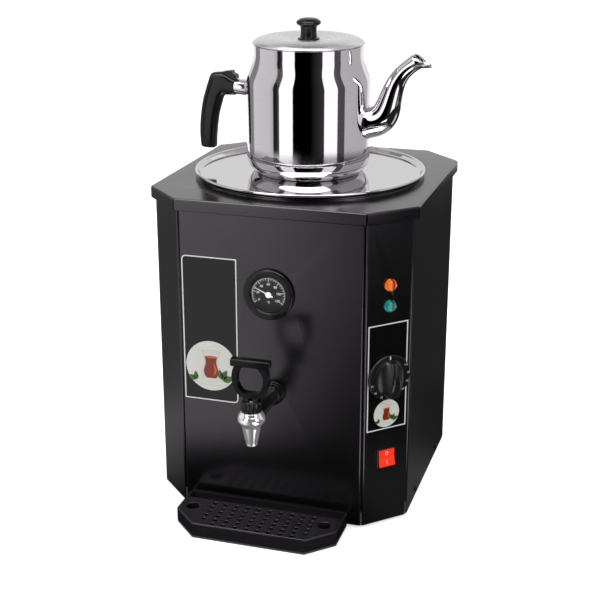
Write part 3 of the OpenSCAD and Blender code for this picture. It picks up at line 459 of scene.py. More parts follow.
dish_steel = steel("spun dish steel", 0.03, 0.06, 1500, 10, 0.05)
dish_lo, dish_hi = box_mm("tank_lid")
pot_lo, pot_hi = box_mm("teapot_base")
plate_top = pot_lo.z
dish_sheet = 0.8
bead_r = 1.7
bead_at = Vector((dish_hi.x - bead_r, dish_hi.z - bead_r))
wall_run = 4.6             # how far the sloping wall spreads
flat_r = bead_at.x - wall_run
ring_top = plate_top - dish_sheet
ring_r = 110.6
wall_foot = [(0, plate_top), (flat_r, plate_top), (bead_at.x - 0.9, bead_at.y)]
wall_back = [(bead_at.x - 0.1, bead_at.y - bead_r), (flat_r + 0.9, ring_top), (ring_r, ring_top)]
dish_line = rounded(wall_foot, 2.4, 6)
dish_line += arc(bead_at.x, bead_at.y, bead_r, 165, -95, 14)
dish_line += rounded(wall_back, 2.0, 5)
dish_line += rounded([(ring_r, ring_top), (ring_r, dish_lo.z), (ring_r - dish_sheet, dish_lo.z),
                      (ring_r - dish_sheet, ring_top), (0, ring_top)], 0.3, 3)
piece("dish_lid", [spun(dish_line, 160)], dish_steel, "dish_lid", ["tank_lid"])


# ---- Teapot ----
# A pressed stainless pot, polished to a mirror: body, capsule base, a two-part welded spout and a
# ferrule that carries a moulded bakelite handle. It stands on the dish lid and lifts off it.
pot_mid = (pot_lo + pot_hi) / 2
on_pot = Matrix.Translation((pot_mid.x, pot_mid.y, pot_lo.z))
pot_r = 72
base_r = 61
curve_z = 20.2             # height at which the wall starts to curve in
base_top = 10.7
shoulder_z, neck_z, pot_h = 102, 136, 147.5
neck_r = 63.1
pot_wall = 1
groove = 0.35              # depth of the groove between the base capsule and the body
lip_r = 0.5
neck_gap = 0.8             # the neck ends this far under the lid
curve_r = ((pot_r - base_r) ** 2 + curve_z ** 2) / (2 * (pot_r - base_r))
pot_axis = (pot_mid.x * MM, pot_mid.y * MM, 0.0)
pot_steel = steel("polished pot steel", 0.03, 0.06, 900, 9, 0.08, pot_axis)


def low_edge(first, last, inset=0.0):
    """The curved lower edge of the pot between two heights."""
    heights = [first + (last - first) * k / 10 for k in range(11)]
    return [(pot_r - curve_r + sqrt(curve_r ** 2 - (curve_z - z) ** 2) - inset, z) for z in heights]


def shoulder(inset=0.0):
    """The curve from the straight wall up to the neck."""
    shares = [k / 24 for k in range(25)]
    return [(pot_r - (pot_r - neck_r) * (1 - cos(pi * t)) / 2 - inset,
             shoulder_z + (neck_z - shoulder_z) * t) for t in shares]


def flowing(stations, steps=6):
    """More stations between the given ones, on a smooth curve through all of them."""
    line = []
    last = len(stations) - 1
    for i in range(last):
        around = [Vector(stations[min(max(i + k, 0), last)]) for k in (-1, 0, 1, 2)]
        for step in range(steps):
            t = step / steps
            a, b, c, d = around
            line.append((2 * b + (c - a) * t + (2 * a - 5 * b + 4 * c - d) * t ** 2
                         + (3 * b - a - 3 * c + d) * t ** 3) / 2)
    line.append(Vector(stations[-1]))
    return line


joint_r = low_edge(base_top, curve_z)[0][0]
body_line = [(0, base_top), (joint_r - 2 * groove, base_top)]
body_line += low_edge(base_top + groove, curve_z) + shoulder()
body_line += arc(neck_r - lip_r, pot_h - lip_r - neck_gap, lip_r, 0, 90)
body_line += [(neck_r - pot_wall, pot_h - 2)] + shoulder(pot_wall)[::-1]
body_line += low_edge(base_top + 3 * pot_wall, curve_z, pot_wall)[::-1]
body_line += [(joint_r - 4 * pot_wall, base_top + pot_wall), (0, base_top + pot_wall)]
piece("teapot_body_shell", [spun(body_line, 160)], pot_steel, "teapot",
      ["teapot_body"], on_pot)

base_line = [(0, 0)] + rounded([(base_r - 6, 0), (base_r - 0.4, 0), low_edge(0, base_top)[2]], 1.2)
base_line += low_edge(0, base_top - groove)[3:]
base_line += [(base_line[-1][0] - 2 * groove, base_top - groove / 2), (0, base_top - groove / 2)]
piece("teapot_base_capsule", [spun(base_line, 160)], pot_steel, "teapot",
      ["teapot_base"], on_pot)

# Centre line of the spout: distance from the pot's axis, height, radius and lean from upright
spout_line = [(64, 59.5, 20.5, 90), (70, 59.7, 19.0, 89), (74, 60.5, 17.9, 84), (84, 64, 17.2, 62),
              (91, 71, 16.2, 38), (95, 81, 14.8, 20), (98, 92, 13.2, 15), (101, 102, 11.8, 18),
              (105, 111, 10.4, 28), (111, 119.5, 9.3, 40), (119, 127, 8.8, 48),
              (126.5, 132.6, 9.2, 52)]
mouth_mid = (133.8, 134.2)
mouth_half, mouth_wide = 12.5, 8.6
mouth_turn = radians(-34.6)
spout_wall = 1.2
round_spout = [2 * pi * k / 40 for k in range(40)]


def spout_ring(station, wall=0.0):
    """One ring of the spout's wall."""
    x, z, r, lean = station
    r -= wall
    lean = radians(lean)
    return [(x - r * sin(a) * cos(lean), r * cos(a), z + r * sin(a) * sin(lean)) for a in round_spout]


def mouth_ring(wall, out):
    """One ring of the slanting mouth, a distance out of its plane."""
    x = mouth_mid[0] - out * sin(mouth_turn)
    z = mouth_mid[1] + out * cos(mouth_turn)
    half = mouth_half - wall
    return [(x - half * sin(a) * cos(mouth_turn), (mouth_wide - wall) * cos(a),
             z - half * sin(a) * sin(mouth_turn)) for a in round_spout]


stations = flowing(spout_line, 5)
spout_rings = [spout_ring(s) for s in stations]
spout_rings += [mouth_ring(wall, out) for wall, out in ((0.5, -1.6), (0.1, -0.9), (0.0, -0.3),
                                                        (0.35, 0.0), (0.9, -0.2), (1.2, -0.9))]
spout_rings += [spout_ring(s, spout_wall) for s in reversed(stations)]
piece("teapot_spout_tube", [skin(spout_rings), skin([spout_rings[0], spout_rings[-1]])],
      pot_steel, "teapot", ["teapot_spout"], on_pot, crease=50)

ferrule_z, ferrule_end = 93.5, -90
ferrule_line = [(0, ferrule_end + 0.2), (7.4, ferrule_end + 0.2)]
ferrule_line += arc(7.9, ferrule_end + 0.8, 0.7, 230, 20, 8)
ferrule_line += [(8.6, ferrule_end + 2.5), (9.2, -76), (10.2, -72.4), (12, -70.6), (0, -70)]
lie_down = Matrix.Translation((0, 0, ferrule_z)) @ Matrix.Rotation(pi / 2, 4, "Y")
piece("handle_ferrule_cone", [spun(ferrule_line, 64)], pot_steel, "teapot",
      ["handle_ferrule"], on_pot @ lie_down)

# Side stations of the handle: a point of its outer edge, the facing point of its inner edge, both as
# distance from the axis and height, and the half thickness there
grip_stations = [(-89.0, 103.0, -89.0, 84.2, 7.6), (-95, 105.4, -95.5, 83.9, 7.9),
                 (-103, 109.6, -101.6, 83.6, 8.2), (-112, 109.8, -104.4, 81.4, 8.4),
                 (-118.4, 108.0, -106.2, 77.4, 8.5), (-121.8, 101.0, -107.6, 72.4, 8.5),
                 (-125.2, 91, -109.2, 67.0, 8.5), (-129.2, 78, -111.2, 59.4, 8.5),
                 (-132.2, 62, -113.0, 48, 8.4), (-133.8, 47, -114.2, 37, 8.2),
                 (-134.1, 34, -114.8, 28.6, 7.9), (-133.4, 23.5, -115.0, 22.6, 7.5)]
bakelite = grained("black bakelite", (0.0034, 0.0033, 0.0037), (0.0055, 0.0054, 0.0058), 0.16, 0.24,
                   700, 20, 0.012, IOR=1.33)


def grip_ring(station):
    """A ring with a rounded oblong section between two facing points."""
    ox, oz, ix, iz, half = station
    middle = Vector(((ox + ix) / 2, 0, (oz + iz) / 2))
    arm = Vector(((ox - ix) / 2, 0, (oz - iz) / 2))
    ring = []
    for k in range(32):
        c, s = cos(2 * pi * k / 32), sin(2 * pi * k / 32)
        size = (abs(c) ** 3.4 + abs(s) ** 3.4) ** (-1 / 3.4)
        ring.append(middle + arm * c * size + Vector((0, half * s * size, 0)))
    return ring


def shrunk(ring, share, shift):
    """A ring drawn in to its middle and moved, to close a rounded end."""
    middle = sum((Vector(p) for p in ring), Vector((0, 0, 0))) / len(ring)
    return [middle + (Vector(p) - middle) * share + Vector(shift) for p in ring]


grip_rings = [grip_ring(s) for s in flowing(grip_stations, 5)]
grip_start = [shrunk(grip_rings[0], 0.9, (0.9, 0, 0)), shrunk(grip_rings[0], 0.97, (0.5, 0, 0))]
grip_end = [shrunk(grip_rings[-1], share, (0, 0, -drop))
            for share, drop in ((0.985, 1.2), (0.94, 2.2), (0.86, 2.9), (0.72, 3.3))]
thumb_rest = [(-86.4, 102.6), (-86.6, 106.8), (-88.4, 108.2), (-91.2, 109.2), (-92.2, 112.4),
              (-96.5, 112.3), (-101.5, 111.4), (-107, 110.2), (-104, 105), (-94, 101)]
handle_parts = [skin(grip_start + grip_rings + grip_end, True, True)]
handle_parts += solid_from(rounded(thumb_rest, 1.1, 3, True), -4.6, 4.6, lambda x, y, z: (x, z, y))
soften(piece("teapot_handle_grip", handle_parts, bakelite, "teapot",
             ["teapot_handle"], on_pot, crease=42), 0.9, 3, 55)

# Pressed lid: a steep rounded edge, a raised ring and a slightly sunken middle
lid_side = [(64.4, 0.1), (64.5, 0.7), (63.9, 1.7), (60.5, 4.6), (54, 7.3), (46, 8.5), (36, 7.7),
            (24, 5.8), (14, 4.8), (3, 4.6), (0, 4.6)]
lid_sheet = 0.8
skirt_r = neck_r - pot_wall - 0.3
lid_top = flowing(lid_side, 5)
lid_line = [(max(r - 0.5, 0), z - lid_sheet) for r, z in reversed(lid_top) if r < skirt_r - 1]
lid_line += [(skirt_r - lid_sheet, 3), (skirt_r - lid_sheet, -6), (skirt_r, -6), (skirt_r, 0),
             (63.6, 0)] + lid_top
lid_steel = steel("brushed lid steel", 0.24, 0.32, 1400, 9, 0.08, pot_axis)
lid_place = on_pot @ Matrix.Translation((0, 0, pot_h))
piece("teapot_lid_dome", [spun(lid_line, 160)], lid_steel, "pot_lid",
      ["teapot_lid"], lid_place)

# The lid's knob, turned from the same bakelite and screwed on from below
knob_line = rounded([(0, 0.1), (12.5, 0.1), (12.5, 1.3), (9.7, 2.1), (9.0, 8), (9.4, 14),
                     (10.6, 15.4), (13.6, 17), (14.3, 19), (13.2, 20.9), (10.2, 22.9), (6, 24),
                     (0, 24)], [0, 0.4, 0.4, 0.8, 6, 2, 1.2, 1.5, 1.2, 1.2, 1.8, 4, 0], 4)
piece("lid_knob_cap", [spun(knob_line, 64)], bakelite, "pot_lid", ["lid_knob"],
      lid_place @ Matrix.Translation((0, 0, 4.7)))


# ---- Thermometer ----
# A round moulded case pressed through the front panel from outside. It has a grey printed dial, a
# white needle on a long spindle to the probe in the tank, and a flat window held by the bezel.
therm_front = Matrix.Translation((therm_at.x, -half_d, therm_at.z)) @ Matrix.Rotation(pi / 2, 4, "X")
therm_out = -therm_lo.y - half_d
bezel_r = therm_hi.x - therm_at.x
dial_lo, dial_hi = box_mm("thermometer_dial")
dial_r = (dial_hi.x - dial_lo.x) / 2
dial_out = -dial_lo.y - half_d
glass_lo, glass_hi = box_mm("thermometer_glass")
window_low, window_high = -glass_hi.y - half_d, -glass_lo.y - half_d
print_t = 0.06             # thickness of a layer of print
black_moulding = grained("black moulding", (0.0036, 0.0035, 0.0039), (0.0058, 0.0057, 0.0062), 0.13,
                         0.19, 900, 25, 0.02, IOR=1.36)
dial_print = coat("grey dial print", (0.015, 0.0145, 0.0155), rough=0.5, IOR=1.2)
white_print = coat("white print", (0.86, 0.86, 0.86), rough=0.5)
grey_print = coat("pale grey print", (0.5, 0.5, 0.505), rough=0.5)
clear_window = coat("clear window", (1, 1, 1), rough=0.02, Transmission_Weight=1.0, IOR=1.1)

can_r = 23
dial_back = dial_out - 0.4
case_line = [(0, -10), (can_r, -10), (can_r, 0)]
case_line += rounded([(can_r, 0.05), (bezel_r, 0.05), (bezel_r, therm_out), (dial_r + 1.2, therm_out),
                      (dial_r, therm_out - 1.4), (dial_r, dial_back)], [0, 0.3, 2.6, 0.7, 0.3, 0], 8)
case_line += [(0, dial_back)]
piece("thermometer_bezel", [spun(case_line, 96)], black_moulding, "urn",
      ["thermometer_case"], therm_front)


def printed(outline, low, holes=()):
    """A layer of print, as parts."""
    return solid_from(outline, low, low + print_t, holes=holes)


def bar(x, y, width, height, low, angle=0.0):
    """A printed bar about a point, turned by an angle in degrees, as parts."""
    c, s = cos(radians(angle)), sin(radians(angle))
    return printed([(x + u * c - v * s, y + u * s + v * c)
                    for u, v in ((-width / 2, -height / 2), (width / 2, -height / 2),
                                 (width / 2, height / 2), (-width / 2, height / 2))], low)


def dial_point(radius, angle):
    """A point on a dial. The angle is in degrees from upright, clockwise."""
    return radius * sin(radians(angle)), radius * cos(radians(angle))


def figures(text, x, y, height, low):
    """Printed figures about a point, as parts."""
    curve = bpy.data.curves.new("figures", "FONT")
    curve.body = text
    curve.align_x = "CENTER"
    curve.align_y = "CENTER"
    curve.resolution_u = 3
    word = bpy.data.objects.new("figures", curve)
    bpy.context.collection.objects.link(word)
    bpy.context.view_layer.update()
    shape = word.to_mesh()
    left, right = [end(point.co.x for point in shape.vertices) for end in (min, max)]
    foot, head = [end(point.co.y for point in shape.vertices) for end in (min, max)]
    size = height / (head - foot)
    points = [(x + (point.co.x - (left + right) / 2) * size, y + (point.co.y - (foot + head) / 2) * size,
               low + print_t) for point in shape.vertices]
    faces = [tuple(face.vertices) for face in shape.polygons]
    word.to_mesh_clear()
    bpy.data.objects.remove(word)
    bpy.data.curves.remove(curve)
    return [(points, faces)]


def ring_arc(radius, width, first, last, low, steps=72):
    """A printed arc of a ring between two dial angles, as parts."""
    turns = [first + (last - first) * k / steps for k in range(steps + 1)]
    return printed([dial_point(radius + width / 2, a) for a in turns]
                   + [dial_point(radius - width / 2, a) for a in reversed(turns)], low)


plate_line = [(0, dial_back), (dial_r - 0.05, dial_back), (dial_r - 0.05, dial_out), (0, dial_out)]
piece("thermometer_dial_plate", [spun(plate_line, 96)], dial_print, "urn",
      ["thermometer_dial"], therm_front)
marks = []
scale_r = dial_r - 2.3
scale_end = 120            # degrees from upright to either end of the scale
for i in range(25):
    angle = 10 * i - scale_end
    size = (0.5, 3.0) if i % 4 == 0 else (0.34, 1.7)
    marks += bar(*dial_point(scale_r - size[1] / 2, angle), *size, dial_out, -angle)
for i in range(7):
    marks += figures(str(20 * i), *dial_point(dial_r - 8.2, 40 * i - scale_end), 2.7, dial_out)
marks += figures("°C", 0, -8.5, 2.6, dial_out)
piece("thermometer_scale", marks, white_print, "urn", [], therm_front, outward=False)
piece("thermometer_scale_ring", ring_arc(scale_r + 0.5, 0.5, -scale_end - 4, scale_end + 4, dial_out),
      grey_print, "urn", [], therm_front)

needle_low = dial_out + 0.2
needle_turn = 65           # the needle's angle from upright at room temperature
pointer = [(-0.22, 17.6), (-0.62, 0), (-0.9, -5.4), (0.9, -5.4), (0.62, 0), (0.22, 17.6)]
turn = Matrix.Rotation(radians(needle_turn), 4, "Z")
needle_parts = solid_from(pointer, needle_low + 0.1, needle_low + 0.35,
                          lambda x, y, z: turn @ Vector((x, y, z)))
needle_parts += [spun(rounded([(0, needle_low), (3.4, needle_low), (3.4, dial_out + 0.9),
                               (2.6, dial_out + 1.1), (0, dial_out + 1.1)], 0.2, 3), 48)]
needle_parts += [spun([(0, -3), (0.8, -3), (0.8, needle_low), (0, needle_low)], 24)]
piece("thermometer_pointer", needle_parts, white_print, "needle",
      ["thermometer_needle"], therm_front)
window_line = rounded([(0, window_low), (dial_r - 0.1, window_low), (dial_r - 0.1, window_high),
                       (0, window_high)], 0.15, 2)
piece("thermometer_window", [spun(window_line, 96)], clear_window, "urn",
      ["thermometer_glass"], therm_front)


# ---- Decals ----
# Two printed vinyl labels. The tall one on the front has two rounded corners and a picture of a tea
# glass, and the one round the knob has a thin pale border and a smaller picture at its foot.
decal_lo, decal_hi = box_mm("front_decal")
front_decal_at = Matrix.Translation((0, -half_d, 0)) @ Matrix.Rotation(pi / 2, 4, "X")
decal_t = decal_hi.y - decal_lo.y
decal_black = coat("glossy black vinyl", (0.003, 0.0028, 0.0034), rough=0.14, IOR=1.4)
decal_white = coat("white vinyl print", (0.7, 0.7, 0.69), rough=0.22)
tea_red = coat("red-brown tea print", (0.19, 0.022, 0.006), rough=0.2)
tea_light = coat("amber tea print", (0.5, 0.11, 0.02), rough=0.2)
leaf_green = coat("leaf green print", (0.045, 0.14, 0.018), rough=0.22)
leaf_dark = coat("dark leaf print", (0.016, 0.06, 0.01), rough=0.22)
picture_cream = coat("cream picture print", (0.62, 0.61, 0.57), rough=0.24)


def leaf(x, y, length, width, angle, low, steps=9):
    """A printed pointed leaf from its stalk end, as parts."""
    c, s = cos(radians(angle)), sin(radians(angle))
    line = []
    for side, shares in ((1, range(steps + 1)), (-1, range(steps, 0, -1))):
        for k in shares:
            u, v = length * k / steps, side * width / 2 * sin(pi * (k / steps) ** 0.8)
            line.append((x + u * c - v * s, y + u * s + v * c))
    return printed(line, low)


def bordered(outline_at):
    """The border line of a label, as parts. outline_at gives the label's outline taken in."""
    return printed(outline_at(0.6), decal_t, [outline_at(1.95)])


def front_label(inset):
    """The front label's outline, taken in by a distance."""
    left, low, right, high = (decal_lo.x + inset, decal_lo.z + inset, decal_hi.x - inset,
                              decal_hi.z - inset)
    return rounded([(left, low), (right, low), (right, high), (left, high)],
                   [0, max(6 - inset, 1), 0, max(6 - inset, 1)], 8, True)


# One picture: a pale round, with a waisted tea glass on a saucer and a sprig of leaves beside it
def tea_picture(x, y, size):
    """Parts of the picture by colour, about a middle, with the pale round's radius as its size."""
    def at(points):
        return [Vector((x + u * size, y + v * size)) for u, v in points]

    def layer(shape, step, *holes):
        return printed(at(shape), decal_t + step * print_t, [at(hole) for hole in holes])

    def mirrored(side):
        return side + [(-u, v) for u, v in reversed(side)]

    def oval(wide, high, v, count=48):
        return [(wide * cos(2 * pi * k / count), v + high * sin(2 * pi * k / count))
                for k in range(count)]

    side = flowing([(0.0, -0.5), (0.2, -0.5), (0.31, -0.38), (0.34, -0.2), (0.26, 0.06), (0.25, 0.2),
                    (0.31, 0.42), (0.37, 0.58)], 5)
    tea_side = [(u * 0.86, v * 0.98) for u, v in side if v < 0.36]
    inner_side = [(u * 0.93, v * 0.985 + 0.003) for u, v in side]
    white = layer(oval(1.0, 1.0, 0.0, 96), 0) + layer(oval(0.26, 0.035, 0.585), 3)
    grey = layer(oval(0.72, 0.2, -0.6), 1, oval(0.68, 0.175, -0.59))
    grey += layer(oval(0.42, 0.1, -0.55), 1, oval(0.39, 0.082, -0.55))
    grey += layer(mirrored(side), 2, mirrored(inner_side))
    grey += layer(oval(0.375, 0.06, 0.58), 2, oval(0.34, 0.045, 0.58))
    red = layer(mirrored(tea_side), 2)
    amber = layer(oval(0.262, 0.05, 0.36), 3)
    amber += layer([(0.08, -0.4), (0.2, -0.3), (0.22, -0.12), (0.15, 0.08), (0.1, 0.08),
                    (0.14, -0.14), (0.12, -0.3)], 3)
    green, dark = [], []
    for u, v, length, width, angle in ((0.42, -0.52, 0.46, 0.25, 62), (0.46, -0.56, 0.5, 0.27, 22),
                                       (0.4, -0.5, 0.4, 0.22, 100), (-0.62, -0.62, 0.34, 0.2, 150),
                                       (-0.6, -0.62, 0.36, 0.2, 96)):
        green += leaf(x + u * size, y + v * size, length * size, width * size, angle,
                      decal_t + 3 * print_t)
        dark += leaf(x + (u + 0.02) * size, y + (v + 0.01) * size, length * 0.9 * size,
                     0.05 * size, angle - 1, decal_t + 4 * print_t)
    return white, grey, red, amber, green, dark


picture_coats = (("round", picture_cream), ("glass_lines", grey_print), ("tea", tea_red),
                 ("tea_light", tea_light), ("leaves", leaf_green), ("leaf_veins", leaf_dark))


def label(word, node, outline_at, holes, picture, place):
    """A label's black plate with its border and its picture, which is given as tea_picture's x, y, size."""
    plate = piece(word + "_label_plate", solid_from(outline_at(0), 0, decal_t, holes=holes), decal_black,
                  "urn", [node], place)
    prints = [("_label_border", decal_white, bordered(outline_at))]
    prints += [("_picture_" + shown, colour, parts)
               for (shown, colour), parts in zip(picture_coats, tea_picture(*picture))]
    for ending, colour, parts in prints:
        piece(word + ending, parts, colour, "urn", [], place)
    return plate


soften(label("front", "front_decal", front_label, [], (decal_lo.x + 33, decal_lo.z + 43, 30),
             front_decal_at), 0.08, 2)

corner_mid = Vector(((half_w + face_w) / 2, -(half_d + half_d - corner_leg) / 2, 0))
on_corner = (Matrix.Translation(corner_mid) @ Matrix.Rotation(radians(45), 4, "Z")
             @ Matrix.Rotation(pi / 2, 4, "X"))
label_lo, label_hi = box_mm("control_decal")
label_w = (label_hi - label_lo).xy.length - decal_t


def control_label(inset):
    """The control label's outline, taken in by a distance."""
    w, low, high = label_w / 2 - inset, label_lo.z + inset, label_hi.z - inset
    return [(-w, low), (w, low), (w, high), (-w, high)]


label("control", "control_decal", control_label, [circle(shaft_hole, 32, control_u, knob_z)],
      (0, label_lo.z + 19.5, 16.5), on_corner)


# ---- Thermostat knob ----
# A moulded satin black knob on the thermostat's shaft: a flat skirt printed with grey numbers, and a
# low drum whose two hollowed flanks leave a grip that narrows towards a white index line.
knob_skirt_r = 26.5
skirt_low, skirt_high = decal_t + 1, decal_t + 4
drum_r = 21
knob_top = 21
grip_narrow, grip_wide = 2.6, 7
knob_satin = grained("satin black knob", (0.005, 0.0048, 0.0055), (0.0075, 0.0072, 0.0081), 0.24, 0.32,
                     1100, 30, 0.015, IOR=1.4)
on_knob = on_corner @ Matrix.Translation((control_u, knob_z, 0))
flank_low = skirt_high + 2.2
rows = []
for i in range(49):
    y = -drum_r * cos(pi * (0.045 + 0.91 * i / 48))
    chord = sqrt(drum_r ** 2 - y ** 2)
    grip = grip_wide + (grip_narrow - grip_wide) * (y + drum_r) / (2 * drum_r)
    ridge = min(grip, 0.96 * chord)
    crest = knob_top - 0.5 - 0.012 * y ** 2
    flank = [(-chord + (chord - ridge) * t, y, flank_low + (crest - 1.1 - flank_low) * t ** 2.4)
             for t in [k / 12 for k in range(13)]]
    ridge_row = [(ridge * t * 0.86, y, crest - 0.25 * t ** 2) for t in (-0.5, 0.0, 0.5)]
    rows.append(flank + ridge_row + [(-x, y, z) for x, y, z in reversed(flank)])
edge = ([row[0] for row in rows] + rows[-1][1:-1] + [row[-1] for row in reversed(rows)]
        + rows[0][-2:0:-1])
wall = skin([edge, [(x * 1.02, y * 1.02, skirt_high - 0.3) for x, y, z in edge]])
skirt_line = [(3.2, skirt_low)] + rounded([(knob_skirt_r, skirt_low), (knob_skirt_r, skirt_low + 1),
                                           (knob_skirt_r - 0.7, skirt_high), (3.2, skirt_high)],
                                          [0.4, 0, 0.9, 0], 4)
soften(piece("thermostat_knob_moulding",
             [spun(skirt_line + [(3.2, skirt_low)], 96), skin(rows, closed=False), wall], knob_satin,
             "thermostat_dial", ["thermostat_knob"], on_knob, crease=50), 0.5, 3, 50)
index_line = bar(0, 23.4, 1.3, 4.0, skirt_high)
index_line += [([(x, drum_r * 0.999, skirt_high + z)
                 for x, z in ((-0.65, 0), (0.65, 0), (0.6, 5.5), (-0.6, 5.5))], [(0, 1, 2, 3)])]
piece("knob_index_line", index_line, white_print, "thermostat_dial", [], on_knob,
      outward=False)
numbers = []
for i in range(9):
    numbers += figures(str(30 + 10 * i), *dial_point(knob_skirt_r - 2.9, 255 - 24.4 * i), 2.5,
                       skirt_high)
piece("knob_numbers", numbers, grey_print, "thermostat_dial", [], on_knob,
      outward=False)


# ---- Signal lamps ----
# Two neon lamps with round lenses of clear tinted plastic, pushed through the panel. The lenses have
# upright prism ribs inside and a thin flange that covers the edge of the hole.
lens_r = 7
lens_out = 5.6
# A dark streak painted down the lens: painted reflection and shade, darker than the lens's brighter sides
painted_streak, painted_streak_in, painted_streak_out = shader_group("painted_lens_shade", {"Side": 0.0, "Width": 1.0}, ("Tone",))
painted_streak_at = add_node(painted_streak, "SeparateXYZ",
                     {0: painted_streak.nodes.new("ShaderNodeTexCoord").outputs["Object"]})


def math_node(tree, operation, *values, clamped=False):
    """The result of a maths node on values or other nodes' outputs."""
    return add_node(tree, "Math", dict(enumerate(values)), operation=operation,
                    use_clamp=clamped).outputs[0]


sideways = math_node(painted_streak, "ADD", painted_streak_at.outputs[0], painted_streak_at.outputs[1])
from_streak = math_node(painted_streak, "SUBTRACT", sideways, painted_streak_in.outputs["Side"])
streak_share = math_node(painted_streak, "DIVIDE", math_node(painted_streak, "ABSOLUTE", from_streak),
                         painted_streak_in.outputs["Width"])
streak_tone = add_node(painted_streak, "MapRange", {"Value": streak_share, "From Min": 0.35,
                                            "From Max": 1.0, "To Min": 1.0, "To Max": 0.0},
                       interpolation_type="SMOOTHSTEP")
painted_streak.links.new(streak_tone.outputs[0], painted_streak_out.inputs["Tone"])
lens_at = mid_mm("lamp_lens_orange")
streak = {"Side": (lens_at.x + lens_at.y + 1.4 * sqrt(2)) * MM, "Width": 2.6 * sqrt(2) * MM}
lens_line = [(0, 0)] + rounded([(lens_r, 0.0), (lens_r, 1.2), (lens_r - 0.9, 1.5),
                                (lens_r - 1.0, 4.2), (lens_r - 2.6, lens_out), (0, lens_out)],
                               [0, 0.4, 0.2, 1.0, 1.2, 0], 4)
for word, z, colour, shade, glow, strength in (
        ("orange", lamp_heights[0], (1.0, 0.17, 0.004), (0.08, 0.005, 0.0), (1.0, 0.12, 0.0, 1), 0.07),
        ("green", lamp_heights[1], (0.0, 0.26, 0.25), (0.0, 0.015, 0.015), (0.0, 0.3, 0.28, 1), 0.05)):
    # Each lens mixes in its darker colour along the painted streak of shade
    lens_coat = coat(word + " lens", colour, shade, rough=0.1, group=painted_streak, values=streak, IOR=1.49,
                     Emission_Color=glow, Emission_Strength=strength)
    ribs = []
    for k in range(7):
        x = (k - 3) * 1.5
        reach = sqrt(max((lens_r - 2.4) ** 2 - x ** 2, 0.2))
        ribs += [([(x + step, y, lens_out + (0.32 if step == 0 else -0.02))
                   for y in (-reach, reach) for step in (-0.75, 0, 0.75)],
                  [(0, 1, 4, 3), (1, 2, 5, 4), (0, 2, 1), (3, 4, 5)])]
    piece("lamp_lens_cap_" + word, [spun(lens_line, 64)] + ribs, lens_coat, "urn",
          ["lamp_lens_" + word], on_corner @ Matrix.Translation((control_u, z, 0)), outward=False)


# ---- Rocker switch ----
# A black snap-in frame with a glossy red rocker on two side pivots. The rocker's two faces meet in a
# soft crease along its middle, and it is marked for off above and on below.
rocker_w, rocker_h = 20.5, 21.5
rocker_tilt = 16
frame_out = 2.6
pivot_in = 1.5
switch_lo, switch_hi = box_mm("switch_frame")
frame_w, frame_h = 27, switch_hi.z - switch_lo.z
rocker_red = coat("red rocker", (0.85, 0.03, 0.008), rough=0.2, Emission_Color=(1.0, 0.04, 0.006, 1),
                  Emission_Strength=0.22)
rocker_mark = coat("pale rocker mark", (0.85, 0.5, 0.4), rough=0.3)
on_switch = on_corner @ Matrix.Translation((control_u, switch_z, 0))


def box_loop(w, h, radius):
    """A rounded rectangle about the middle."""
    return rounded([(-w / 2, -h / 2), (w / 2, -h / 2), (w / 2, h / 2), (-w / 2, h / 2)], radius, 5, True)


frame_rings = [flat_ring(box_loop(frame_w - less, frame_h - less, r), z)
               for less, r, z in ((0, 1.6, 0.0), (0, 1.6, 1.3), (0.5, 1.5, 2.2), (1.6, 1.2, frame_out))]
frame_rings += [flat_ring(box_loop(rocker_w + more, rocker_h + more, r), z)
                for more, r, z in ((1.5, 0.7, frame_out), (0.7, 0.4, frame_out - 0.5), (0.6, 0.4, -6))]
back_rings = [flat_ring(box_loop(frame_w - 3, frame_h - 3, 0.6), z) for z in (0, -24)]
frame_parts = [skin(frame_rings, last=True), skin(back_rings, last=True)]
for y in (-7, 0, 7):
    frame_parts.append(([(x, y + side, z) for x in (-3, 3) for side in (-0.4, 0.4)
                         for z in (-32.5, -23)],
                        [(0, 1, 3, 2), (4, 6, 7, 5), (0, 4, 5, 1), (2, 3, 7, 6), (0, 2, 6, 4),
                         (1, 5, 7, 3)]))
piece("switch_frame_moulding", frame_parts, black_moulding, "urn", ["switch_frame"],
      on_switch, crease=40)
tilt = radians(rocker_tilt / 2)
half_rise = tan(tilt) * rocker_h / 2
rocker_face = frame_out + pivot_in - 1.2
side_line = rounded([(-rocker_h / 2 + 0.8, -2), (-rocker_h / 2 + 0.45, rocker_face + half_rise),
                     (0, rocker_face), (rocker_h / 2 - 0.45, rocker_face + half_rise),
                     (rocker_h / 2 - 0.8, -2)], [0, 0.7, 6, 0.7, 0], 6)
rocker_place = (on_switch @ Matrix.Translation((0, 0, -pivot_in)) @ Matrix.Rotation(-tilt, 4, "X"))
rocker_rings = [[(x, p.x, p.y) for p in side_line] for x in (-rocker_w / 2, rocker_w / 2)]
soften(piece("rocker_cap", [skin(rocker_rings, True, True)], rocker_red, "rocker",
             ["switch_rocker"], rocker_place, crease=50), 0.5, 3, 50)


def on_face(outline, angle, holes=()):
    """A mark on the rocker's face that leans at an angle."""
    lay = Matrix.Translation((0, 0, rocker_face + 0.1)) @ Matrix.Rotation(angle, 4, "X")
    return solid_from(outline, 0, print_t, lambda x, y, z: lay @ Vector((x, y, z)), holes)


def mark_oval(wide, high):
    """An oval on the upper face."""
    return [(wide * cos(a), 5.4 + high * sin(a)) for a in [2 * pi * k / 40 for k in range(40)]]


piece("rocker_marks", on_face(mark_oval(2.0, 2.5), tilt, [mark_oval(1.1, 1.6)])
      + on_face([(-0.45, -7.6), (0.45, -7.6), (0.45, -3.0), (-0.45, -3.0)], -tilt),
      rocker_mark, "rocker", [], rocker_place, outward=False)


